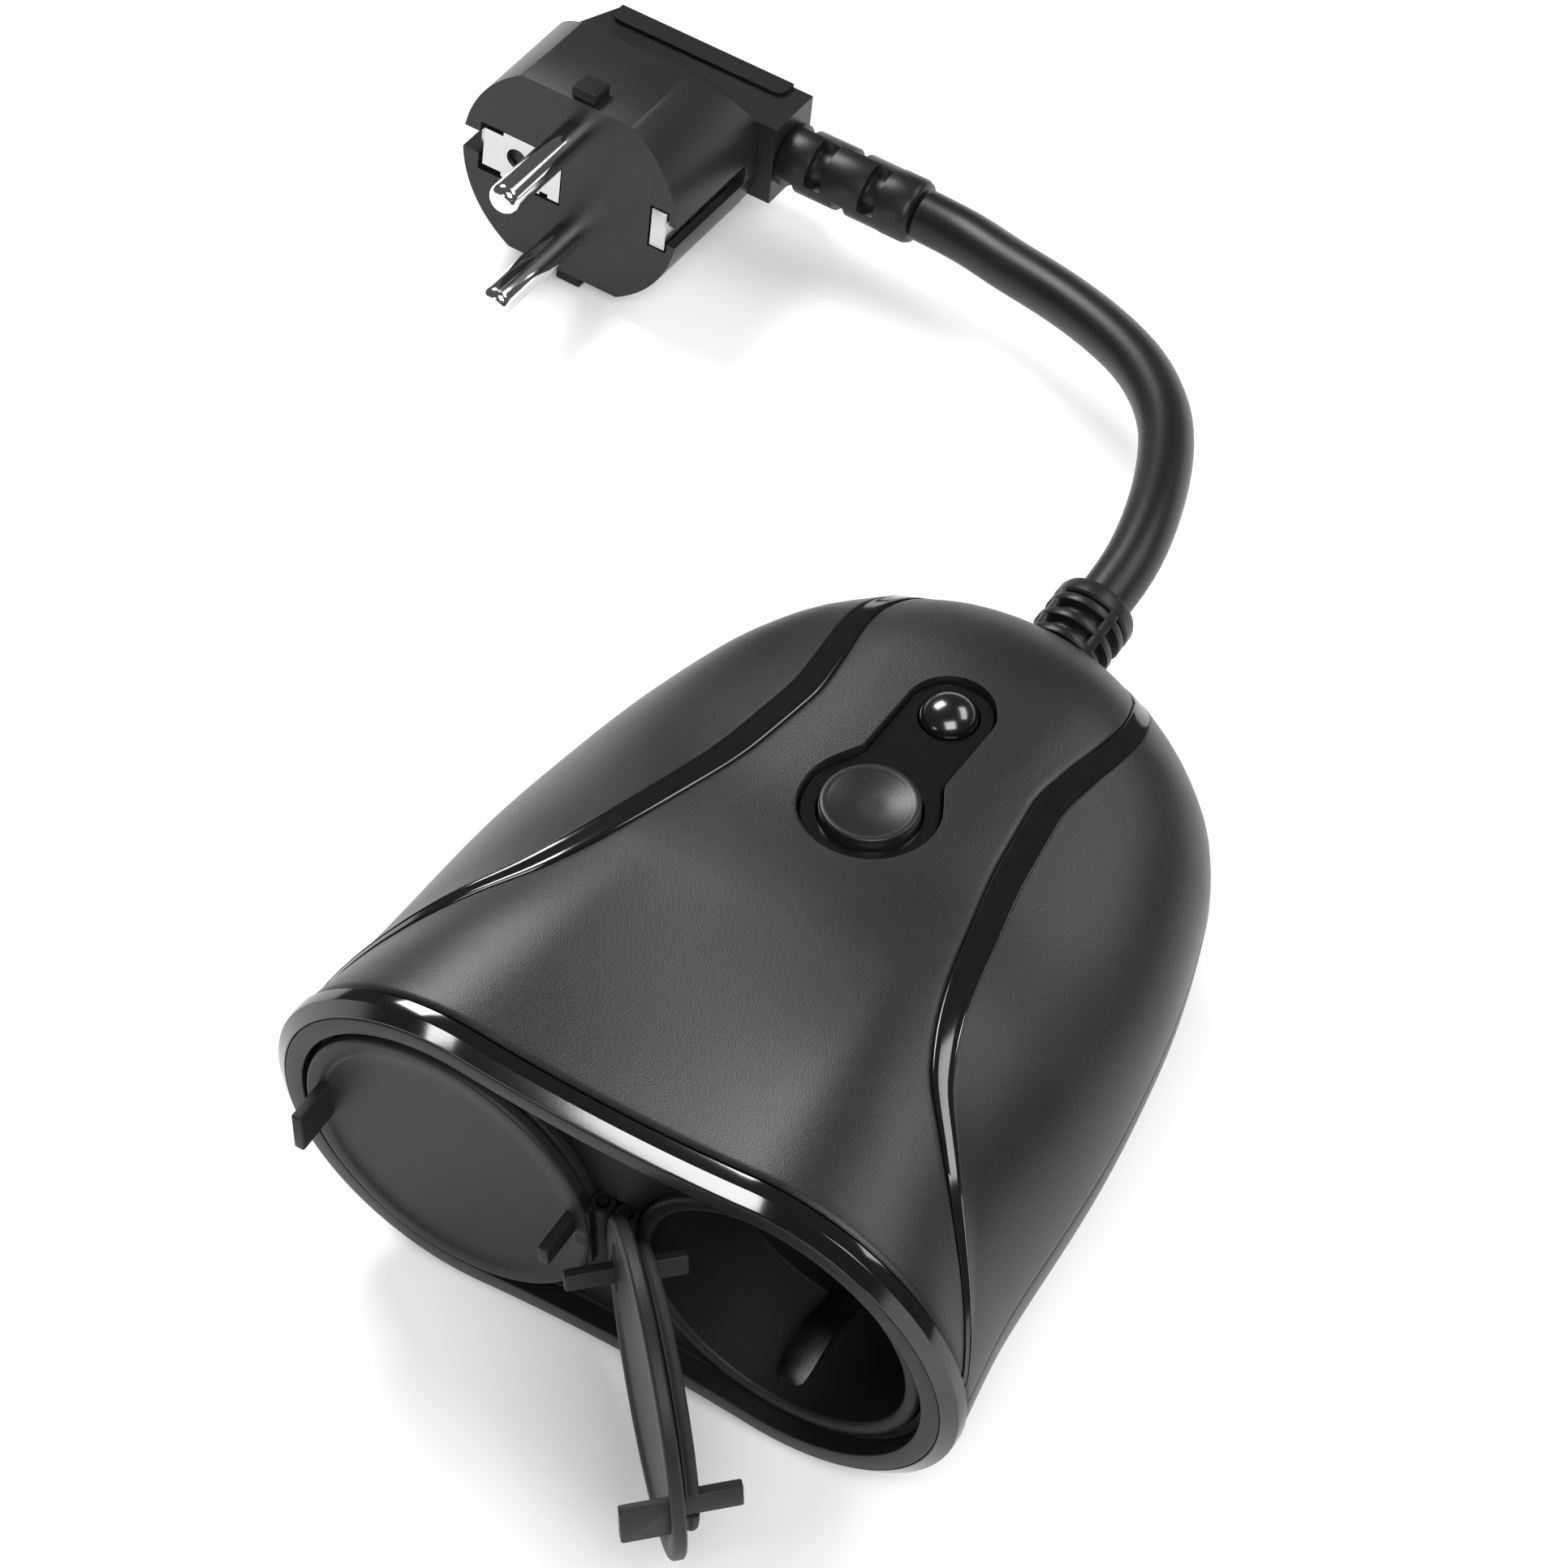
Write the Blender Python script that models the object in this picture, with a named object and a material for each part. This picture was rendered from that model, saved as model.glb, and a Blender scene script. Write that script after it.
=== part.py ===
"""Outdoor smart plug: a bell-shaped body with two capped earthed sockets, a push button
and a lamp on top, and a short free cord to an angled earthed plug.

Axes: +X across the socket face, +Y from the sockets to the cord, +Z towards the button.
The whole set lies on its back on the plane z = 0. All lengths are in metres.
"""
import math

import bmesh
import bpy
import numpy as np
from mathutils import Matrix, Vector

MM = 0.001

# Overall placing
FRONT_Y = -0.050            # y of the rim face
AXIS_Z = 0.02837            # height of the body's axis above the table

# Figure-of-eight socket face
LOBE_RADIUS = 0.0276
LOBE_OFFSET = 0.0242
WAIST_RADIUS = 0.1630
CHAMFER_WIDTH = 0.00185
CHAMFER_DEPTH = 0.0013
RING_DEPTH = 0.0037
FRAME_INSET = 0.00215
FRAME_STEP_INSET = 0.0042
FRAME_DEPTH = 0.0060
RECESS_INSET = 0.0048
RECESS_DEPTH = 0.0032

# Body shells, as (distance behind the rim, half width, half height above, half height below)
SHELL_STATIONS = (
    (0.0040, 0.0514, 0.0276, 0.0276),
    (0.0180, 0.0493, 0.0277, 0.0276),
    (0.0400, 0.0482, 0.0262, 0.0275),
    (0.0620, 0.0452, 0.0222, 0.0270),
    (0.0840, 0.0390, 0.0196, 0.0252),
    (0.0940, 0.0335, 0.0183, 0.0228),
    (0.1000, 0.0275, 0.0166, 0.0198),
    (0.1040, 0.0215, 0.0142, 0.0163),
    (0.1070, 0.0145, 0.0110, 0.0120),
    (0.1090, 0.0069, 0.0069, 0.0069),
)
SHELL_RINGS = (4.0, 8.0, 13.0, 19.0, 26.0, 34.0, 42.0, 50.0, 58.0, 66.0, 74.0, 82.0,
               89.0, 95.0, 99.5, 103.0, 105.5, 107.5, 109.0)
SECTION_POWER = 2.15
DOME_START = 0.0945
SHELL_WALL = 0.0022
TRIM_STATIONS = (
    (0.0040, 9.0), (0.0090, 21.6), (0.0153, 35.0), (0.0225, 45.4), (0.0310, 53.4),
    (0.0420, 58.4), (0.0540, 61.9), (0.0660, 63.6), (0.0760, 63.6), (0.0840, 61.0),
    (0.0900, 57.0), (0.0990, 48.5), (0.1040, 41.0), (0.1090, 30.0),
)
TRIM_WIDTH = 0.0021
PANEL_GAP_ANGLE = 0.85
BACK_FLAT_Z = 0.0016

# Back plate
PLATE_CENTRE_Y = 0.050
PLATE_HALF_X = 0.0260
PLATE_HALF_Y = 0.0300
PLATE_CORNER = 0.0080
PLATE_THICKNESS = 0.0013
SCREW_X = 0.0200
SCREW_Y = 0.0240
SCREW_RADIUS = 0.0026

# Sockets
WELL_RADIUS = 0.0191
WELL_DEPTH = 0.0175
COLLAR_FRONT = 0.0018
COLLAR_RADIUS = 0.0213
CUP_RADIUS = 0.0206
CUP_FLOOR = 0.0023
PIN_SPACING = 0.0190
PIN_HOLE_RADIUS = 0.0027
EARTH_REACH = 0.0170

# Caps
CAP_RADIUS = 0.0220
CAP_FRONT = -0.0005
CAP_THICKNESS = 0.0019
SEAL_RADIUS = 0.0187
SEAL_BACK = 0.0037
HINGE_X = 0.0018
HINGE_Y = 0.0024
HINGE_PIN_RADIUS = 0.0007
KNUCKLE_RADIUS = 0.0016
KNUCKLE_HALF = 0.0055
CAP_OPEN_DEG = 46.0
TAB_RADIAL = 0.0198
TAB_THICKNESS = 0.0016
TAB_REACH = 0.0062
TONGUE_RADIAL = 0.0183
TONGUE_BACK = 0.0093

# Top controls
CONTROL_Y = 0.0635
CONTROL_Z = 0.0505
CONTROL_TILT = math.radians(-5.5)
BUTTON_RADIUS = 0.00672
LAMP_STEP = 0.0196
LAMP_RADIUS = 0.0039
INLAY_BIG = 0.0092
INLAY_SMALL = 0.0060
INLAY_TOP = -0.0018
INLAY_THICKNESS = 0.0009

# Cord and plug
CORD_RADIUS = 0.0039
GLAND_RADIUS = 0.0059
GLAND_END = 0.1215
PLUG_ORIGIN = (-0.1076, 0.1536, 0.0188)
PLUG_TILT = math.radians(-11.0)
PLUG_RADIUS = 0.0183
PLUG_FLAT = 0.0158
PLUG_CREASE = 0.0155
PLUG_REAR = 0.0230
PLUG_REAR_HALF = 0.0057
ARM_FRONT = 0.0220
ARM_REAR = 0.0320
ARM_HALF = 0.0068
ARM_LEFT = -0.0126
ARM_END = 0.0207
ARM_Y = 0.0264
PLATE_OUTLINE = (
    (-0.0149, -0.0033), (-0.0122, -0.0033), (-0.0122, -0.0040), (-0.0050, -0.0040),
    (-0.0050, -0.0034), (-0.0036, -0.0034), (-0.0036, -0.0040), (-0.0017, -0.0040),
    (-0.0017, 0.0040), (-0.0036, 0.0040), (-0.0036, 0.0034), (-0.0050, 0.0034),
    (-0.0050, 0.0040), (-0.0117, 0.0040), (-0.0117, 0.0033), (-0.0149, 0.0033),
)
RELIEF_START = 0.0210
RELIEF_END = 0.0432
RELIEF_RADIUS = 0.00483

# colour, roughness, metallic
LOOKS = {
    "shell_black": ((0.045, 0.046, 0.050, 1.0), 0.55, 0.0),
    "panel_black": ((0.040, 0.041, 0.045, 1.0), 0.50, 0.0),
    "trim_gloss": ((0.020, 0.020, 0.022, 1.0), 0.12, 0.0),
    "frame_grey": ((0.090, 0.090, 0.094, 1.0), 0.50, 0.0),
    "cap_grey": ((0.100, 0.100, 0.104, 1.0), 0.50, 0.0),
    "seal_rubber": ((0.030, 0.030, 0.032, 1.0), 0.70, 0.0),
    "well_black": ((0.030, 0.030, 0.032, 1.0), 0.55, 0.0),
    "brass": ((0.70, 0.53, 0.25, 1.0), 0.30, 1.0),
    "nickel": ((0.68, 0.67, 0.64, 1.0), 0.25, 1.0),
    "steel": ((0.55, 0.56, 0.58, 1.0), 0.30, 1.0),
    "chrome": ((0.80, 0.80, 0.81, 1.0), 0.10, 1.0),
    "lens_black": ((0.010, 0.010, 0.012, 1.0), 0.06, 0.0),
    "board_green": ((0.030, 0.160, 0.070, 1.0), 0.45, 0.0),
    "relay_blue": ((0.040, 0.120, 0.300, 1.0), 0.40, 0.0),
    "module_grey": ((0.350, 0.360, 0.370, 1.0), 0.35, 0.6),
    "terminal_grey": ((0.300, 0.310, 0.300, 1.0), 0.50, 0.0),
    "lamp_white": ((0.750, 0.760, 0.740, 1.0), 0.30, 0.0),
    "cord_black": ((0.022, 0.022, 0.024, 1.0), 0.42, 0.0),
    "plug_black": ((0.050, 0.050, 0.053, 1.0), 0.50, 0.0),
}


def clearScene():
    for obj in list(bpy.data.objects):
        bpy.data.objects.remove(obj, do_unlink=True)
    for mesh in list(bpy.data.meshes):
        bpy.data.meshes.remove(mesh)


def look(name):
    mat = bpy.data.materials.get(name)
    if mat is None:
        mat = bpy.data.materials.new(name)
        mat.use_nodes = True
        bsdf = mat.node_tree.nodes["Principled BSDF"]
        colour, rough, metal = LOOKS[name]
        bsdf.inputs["Base Color"].default_value = colour
        bsdf.inputs["Roughness"].default_value = rough
        bsdf.inputs["Metallic"].default_value = metal
        mat.diffuse_color = colour
    return mat


def finish(bm, name, lookName, crease=32.0):
    bmesh.ops.recalc_face_normals(bm, faces=bm.faces)
    mesh = bpy.data.meshes.new(name)
    bm.to_mesh(mesh)
    bm.free()
    obj = bpy.data.objects.new(name, mesh)
    bpy.context.scene.collection.objects.link(obj)
    obj.data.materials.append(look(lookName))
    for poly in mesh.polygons:
        poly.use_smooth = True
    mesh.set_sharp_from_angle(angle=math.radians(crease))
    return obj


def loftRings(bm, rings, closed=True, capEnds=True):
    """Join equal-length rings of points with quads."""
    layers = [[bm.verts.new(p) for p in ring] for ring in rings]
    count = len(rings[0])
    span = count if closed else count - 1
    for low, high in zip(layers[:-1], layers[1:]):
        for i in range(span):
            j = (i + 1) % count
            bm.faces.new((low[i], low[j], high[j], high[i]))
    if capEnds:
        bm.faces.new(list(reversed(layers[0])))
        bm.faces.new(layers[-1])
    return layers


def prism(bm, outline, low, high, axis="Y"):
    """Extrude a closed outline of (a, b) pairs between two levels of one axis."""
    def place(a, b, level):
        if axis == "Y":
            return (a, level, b)
        if axis == "Z":
            return (a, b, level)
        return (level, a, b)
    loftRings(bm, [[place(a, b, low) for a, b in outline],
                   [place(a, b, high) for a, b in outline]])


def box(bm, x0, x1, y0, y1, z0, z1):
    prism(bm, [(x0, y0), (x1, y0), (x1, y1), (x0, y1)], z0, z1, "Z")


def circle(cx, cy, radius, count):
    return [(cx + radius * math.cos(2 * math.pi * i / count),
             cy + radius * math.sin(2 * math.pi * i / count)) for i in range(count)]


def revolveY(bm, profile, cx, cz, count):
    """Turn a closed (radius, y) profile about an axis along Y through (cx, cz)."""
    rings = []
    for i in range(count):
        angle = 2 * math.pi * i / count
        rings.append([(cx + r * math.cos(angle), y, cz + r * math.sin(angle))
                      for r, y in profile])
    layers = [[bm.verts.new(p) for p in ring] for ring in rings]
    size = len(profile)
    for i in range(count):
        a, b = layers[i], layers[(i + 1) % count]
        for k in range(size):
            m = (k + 1) % size
            bm.faces.new((a[k], a[m], b[m], b[k]))


def solidOfTurn(bm, profile, cx, cz, count):
    """Stack of circles along Y from an open (radius, y) profile, capped at both ends."""
    loftRings(bm, [[(cx + a, y, cz + b) for a, b in circle(0, 0, r, count)]
                   for r, y in profile])


def cutWith(obj, makers, operation="DIFFERENCE"):
    """Subtract helper solids from an object, or join them to it, and drop the helpers."""
    for maker in makers:
        bm = bmesh.new()
        maker(bm)
        cutter = finish(bm, obj.name + "_cut", "shell_black")
        mod = obj.modifiers.new("cut", "BOOLEAN")
        mod.operation = operation
        mod.solver = "EXACT"
        mod.object = cutter
        bpy.context.view_layer.update()
        graph = bpy.context.evaluated_depsgraph_get()
        mesh = bpy.data.meshes.new_from_object(obj.evaluated_get(graph))
        obj.modifiers.clear()
        old = obj.data
        obj.data = mesh
        bpy.data.meshes.remove(old)
        bpy.data.objects.remove(cutter, do_unlink=True)
        mesh.name = obj.name


def eightOutline(inset, arc=15, waist=6):
    """Two round lobes joined by shallow waists, shrunk by an inset, as (x, z) pairs."""
    lobe = LOBE_RADIUS - inset
    waistR = WAIST_RADIUS + inset
    rise = math.sqrt((lobe + waistR) ** 2 - LOBE_OFFSET ** 2)
    turn = math.atan2(rise, -LOBE_OFFSET)
    right = []
    for i in range(arc + 1):
        t = -turn + 2 * turn * i / arc
        right.append((LOBE_OFFSET + lobe * math.cos(t), lobe * math.sin(t)))
    start = math.atan2(-rise, LOBE_OFFSET)
    end = math.atan2(-rise, -LOBE_OFFSET)
    for i in range(1, waist):
        t = start + (end - start) * i / waist
        right.append((waistR * math.cos(t), rise + waistR * math.sin(t)))
    return right + [(-x, -z) for x, z in right]


def eightAt(inset, y):
    return [(x, y, AXIS_Z + z) for x, z in eightOutline(inset)]


def hermite(stations, y, column):
    """Smooth monotone-looking interpolation through the stations."""
    ys = [s[0] for s in stations]
    vs = [s[column] for s in stations]
    if y <= ys[0]:
        return vs[0]
    if y >= ys[-1]:
        return vs[-1]
    k = max(i for i in range(len(ys) - 1) if ys[i] <= y)
    slopes = [(vs[i + 1] - vs[i]) / (ys[i + 1] - ys[i]) for i in range(len(ys) - 1)]

    def tangent(i):
        if i == 0:
            return slopes[0]
        if i == len(ys) - 1:
            return slopes[-1]
        if slopes[i - 1] * slopes[i] <= 0:
            return 0.0
        return 2 * slopes[i - 1] * slopes[i] / (slopes[i - 1] + slopes[i])
    h = ys[k + 1] - ys[k]
    t = (y - ys[k]) / h
    return ((2 * t ** 3 - 3 * t ** 2 + 1) * vs[k] + (t ** 3 - 2 * t ** 2 + t) * h * tangent(k)
            + (-2 * t ** 3 + 3 * t ** 2) * vs[k + 1] + (t ** 3 - t ** 2) * h * tangent(k + 1))


EIGHT_DENSE = [(math.atan2(z / LOBE_RADIUS, x / (LOBE_RADIUS + LOBE_OFFSET)),
                math.hypot(x / (LOBE_RADIUS + LOBE_OFFSET), z / LOBE_RADIUS))
               for x, z in eightOutline(0.0, 80, 40)]
EIGHT_DENSE.sort()
EIGHT_ANGLES = np.array([a for a, r in EIGHT_DENSE])
EIGHT_REACH = np.array([r for a, r in EIGHT_DENSE])


def shellPoint(degrees, y, inset=0.0):
    """Point of the body's skin at an angle around its section, moved in by an inset."""
    angle = math.radians(degrees)
    half = hermite(SHELL_STATIONS, y, 1) - inset
    up = math.sin(angle) >= 0
    tall = hermite(SHELL_STATIONS, y, 2 if up else 3) - inset
    blend = min(max(y / 0.070, 0.0), 1.0)
    blend = blend * blend * (3 - 2 * blend)
    c, s = abs(math.cos(angle)), abs(math.sin(angle))
    plain = (c ** SECTION_POWER + s ** SECTION_POWER) ** (-1 / SECTION_POWER)
    eight = float(np.interp(angle, EIGHT_ANGLES, EIGHT_REACH, period=2 * math.pi))
    reach = (1 - blend) * eight + blend * plain
    x = half * reach * math.cos(angle)
    z = max(AXIS_Z + tall * reach * math.sin(angle), BACK_FLAT_Z + inset)
    return x, z


def shellPatch(name, lookName, startOf, endOf, steps, lift=0.0, wall=SHELL_WALL):
    """Curved panel between two angles of the section, given as functions of y."""
    bm = bmesh.new()
    outer, inner = [], []
    last = SHELL_RINGS[-1] * MM
    squeeze = (last - wall - DOME_START) / (last - DOME_START)
    for ring in SHELL_RINGS:
        y = ring * MM
        yIn = y if y <= DOME_START else DOME_START + (y - DOME_START) * squeeze
        a0, a1 = startOf(y), endOf(y)
        rowOut, rowIn = [], []
        for i in range(steps + 1):
            a = a0 + (a1 - a0) * i / steps
            x, z = shellPoint(a, y, -lift)
            rowOut.append((x, FRONT_Y + y, z))
            x, z = shellPoint(a, y, wall)
            rowIn.append((x, FRONT_Y + yIn, z))
        outer.append(rowOut)
        inner.append(rowIn)
    rings = [rowOut + list(reversed(rowIn)) for rowOut, rowIn in zip(outer, inner)]
    layers = [[bm.verts.new(p) for p in ring] for ring in rings]
    count = len(rings[0])
    for low, high in zip(layers[:-1], layers[1:]):
        for i in range(count):
            j = (i + 1) % count
            bm.faces.new((low[i], low[j], high[j], high[i]))
    for layer, flip in ((layers[0], True), (layers[-1], False)):
        for i in range(steps):
            quad = [layer[i], layer[i + 1], layer[count - 2 - i], layer[count - 1 - i]]
            bm.faces.new(quad if flip else list(reversed(quad)))
    return finish(bm, name, lookName, 30.0)


def trimAngle(y):
    return hermite(TRIM_STATIONS, y, 1)


def trimHalf(y):
    x, z = shellPoint(trimAngle(y), y)
    return math.degrees(TRIM_WIDTH / 2 / math.hypot(x, z - AXIS_Z))


def mirrored(angle):
    return 180.0 - angle


def buildShells():
    gap = PANEL_GAP_ANGLE
    shellPatch("lower_shell", "shell_black", lambda y: 180.0 + gap, lambda y: 360.0 - gap, 22)
    shellPatch("side_panel_right", "shell_black", lambda y: gap,
               lambda y: trimAngle(y) - trimHalf(y) - gap, 7)
    shellPatch("side_panel_left", "shell_black",
               lambda y: mirrored(trimAngle(y) - trimHalf(y) - gap), lambda y: mirrored(gap), 7)
    shellPatch("trim_strip_right", "trim_gloss", lambda y: trimAngle(y) - trimHalf(y),
               lambda y: trimAngle(y) + trimHalf(y), 1, 0.0002)
    shellPatch("trim_strip_left", "trim_gloss", lambda y: mirrored(trimAngle(y) + trimHalf(y)),
               lambda y: mirrored(trimAngle(y) - trimHalf(y)), 1, 0.0002)
    saddle = shellPatch("saddle_panel", "panel_black", lambda y: trimAngle(y) + trimHalf(y) + gap,
                        lambda y: mirrored(trimAngle(y) + trimHalf(y) + gap), 16, 0.0004)
    cutWith(saddle, [controlCut(keyholeOutline(0.0003), INLAY_TOP - INLAY_THICKNESS - 0.0003,
                                0.0040),
                     controlCut(circle(0, 0, BUTTON_RADIUS + 0.0012, 32), -0.0100, 0.0040),
                     controlCut(circle(0, LAMP_STEP, LAMP_RADIUS + 0.0010, 24), -0.0100,
                                0.0040)])


def controlPlace():
    return (Matrix.Translation((0.0, FRONT_Y + CONTROL_Y, CONTROL_Z))
            @ Matrix.Rotation(CONTROL_TILT, 4, "X"))


def keyholeOutline(grow):
    """Big round end at the button, small round end at the lamp, flared neck between."""
    big, small = INLAY_BIG + grow, INLAY_SMALL + grow
    end = LAMP_STEP + small
    side = []
    for i in range(33):
        if i < 9:
            t = -big * math.cos(math.pi / 2 * i / 8)
        else:
            t = end * math.sin(math.pi / 2 * (i - 8) / 24)
        bigWide = math.sqrt(max(big ** 2 - t ** 2, 0.0))
        smallWide = small
        if t > LAMP_STEP:
            smallWide = math.sqrt(max(small ** 2 - (t - LAMP_STEP) ** 2, 0.0))
        if t < 0:
            smallWide = 0.0
        soft = 0.0024
        mix = max(soft - abs(bigWide - smallWide), 0.0) / soft
        wide = max(bigWide, smallWide) + (mix ** 2 * soft * 0.25 if 0 < t < LAMP_STEP else 0.0)
        side.append((max(wide, 0.0), t))
    side[0] = (0.0, -big)
    side[-1] = (0.0, end)
    return side + [(-x, t) for x, t in reversed(side[1:-1])]


def controlCut(outline, low, high):
    def maker(bm):
        prism(bm, outline, low, high, "Z")
        bm.transform(controlPlace())
    return maker


def placeControl(obj):
    obj.matrix_world = controlPlace()


def buildFront():
    bm = bmesh.new()
    gap = 0.0003
    profile = ((0.0, RING_DEPTH - gap), (0.0, CHAMFER_DEPTH), (CHAMFER_WIDTH, 0.0002),
               (FRAME_INSET - gap, 0.0004), (FRAME_INSET - gap, RING_DEPTH - gap))
    rings = [eightAt(inset, FRONT_Y + y) for inset, y in profile]
    layers = [[bm.verts.new(p) for p in ring] for ring in rings]
    count = len(layers[0])
    for k in range(len(layers)):
        a, b = layers[k], layers[(k + 1) % len(layers)]
        for i in range(count):
            j = (i + 1) % count
            bm.faces.new((a[i], a[j], b[j], b[i]))
    finish(bm, "front_trim_ring", "trim_gloss", 25.0)

    bm = bmesh.new()
    loftRings(bm, [eightAt(FRAME_INSET, FRONT_Y), eightAt(FRAME_INSET, FRONT_Y + RING_DEPTH - gap),
                   eightAt(FRAME_STEP_INSET, FRONT_Y + RING_DEPTH - gap),
                   eightAt(FRAME_STEP_INSET, FRONT_Y + FRAME_DEPTH)])
    frame = finish(bm, "front_frame", "frame_grey", 30.0)

    def recess(work):
        loftRings(work, [eightAt(RECESS_INSET, FRONT_Y - 0.002),
                         eightAt(RECESS_INSET, FRONT_Y + RECESS_DEPTH)])

    def bore(side):
        def maker(work):
            solidOfTurn(work, [(COLLAR_RADIUS + gap, FRONT_Y - 0.002),
                               (COLLAR_RADIUS + gap, FRONT_Y + 0.009)],
                        side * LOBE_OFFSET, AXIS_Z, 48)
        return maker

    cutWith(frame, [recess, bore(1), bore(-1), hingeWindow])


def hingeWindow(work):
    box(work, -0.0037, 0.0037, FRONT_Y + 0.0002, FRONT_Y + 0.009,
        AXIS_Z - KNUCKLE_HALF - 0.0008, AXIS_Z + KNUCKLE_HALF + 0.0008)


def buildSocket(side, word):
    cx = side * LOBE_OFFSET
    floorY = COLLAR_FRONT + WELL_DEPTH
    bm = bmesh.new()
    revolveY(bm, [(WELL_RADIUS + 0.0005, FRONT_Y + COLLAR_FRONT),
                  (COLLAR_RADIUS - 0.0005, FRONT_Y + COLLAR_FRONT),
                  (COLLAR_RADIUS, FRONT_Y + COLLAR_FRONT + 0.0005),
                  (COLLAR_RADIUS, FRONT_Y + 0.0066),
                  (CUP_RADIUS, FRONT_Y + 0.0072),
                  (CUP_RADIUS, FRONT_Y + floorY + CUP_FLOOR),
                  (WELL_RADIUS, FRONT_Y + floorY + CUP_FLOOR - 0.0002),
                  (WELL_RADIUS, FRONT_Y + COLLAR_FRONT + 0.0005)], cx, AXIS_Z, 48)
    well = finish(bm, "socket_well_" + word, "well_black", 30.0)

    def cupFloor(work):
        solidOfTurn(work, [(WELL_RADIUS + 0.0006, FRONT_Y + floorY),
                           (WELL_RADIUS + 0.0006, FRONT_Y + floorY + CUP_FLOOR - 0.0006)],
                    cx, AXIS_Z, 48)
    cutWith(well, [cupFloor], "UNION")

    def pinHole(offset):
        def maker(work):
            solidOfTurn(work, [(PIN_HOLE_RADIUS, FRONT_Y + floorY - 0.002),
                               (PIN_HOLE_RADIUS, FRONT_Y + floorY + 0.005)],
                        cx + offset, AXIS_Z, 20)
        return maker

    def earthSlot(sign):
        def maker(work):
            z = AXIS_Z + sign * EARTH_REACH
            box(work, cx - 0.0027, cx + 0.0027, FRONT_Y + floorY - 0.002,
                FRONT_Y + floorY + 0.005, z - 0.0008, z + 0.0008)
        return maker
    cutWith(well, [pinHole(-PIN_SPACING / 2), pinHole(PIN_SPACING / 2), earthSlot(1),
                   earthSlot(-1), hingeWindow])

    back = floorY + CUP_FLOOR
    for tag, offset in (("a", -PIN_SPACING / 2), ("b", PIN_SPACING / 2)):
        bm = bmesh.new()
        near, far = FRONT_Y + back + 0.0003, FRONT_Y + back + 0.0140
        loftRings(bm, [[(cx + offset + a, y, AXIS_Z + b) for a, b in circle(0, 0, r, 20)]
                       for r, y in ((0.0025, far - 0.0015), (0.0025, near), (0.0034, near),
                                    (0.0034, far))])
        finish(bm, "contact_" + word + "_" + tag, "brass", 30.0)

    bm = bmesh.new()
    path = [(COLLAR_FRONT + 0.0030, 0.0182), (0.0085, 0.0168), (0.0125, 0.0158),
            (0.0160, EARTH_REACH), (back + 0.0004, EARTH_REACH)]
    thin = 0.0007
    outline = [(y, z + thin / 2) for y, z in path]
    outline.append((back + 0.0004 + thin, EARTH_REACH + thin / 2))
    outline.append((back + 0.0004 + thin, -EARTH_REACH - thin / 2))
    outline += [(y, -z - thin / 2) for y, z in reversed(path)]
    outline += [(y, -z + thin / 2) for y, z in path]
    outline += [(y, z - thin / 2) for y, z in reversed(path)]
    prism(bm, [(FRONT_Y + y, AXIS_Z + z) for y, z in outline], cx - 0.0022, cx + 0.0022, "X")
    finish(bm, "earth_contact_" + word, "nickel", 20.0)


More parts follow.
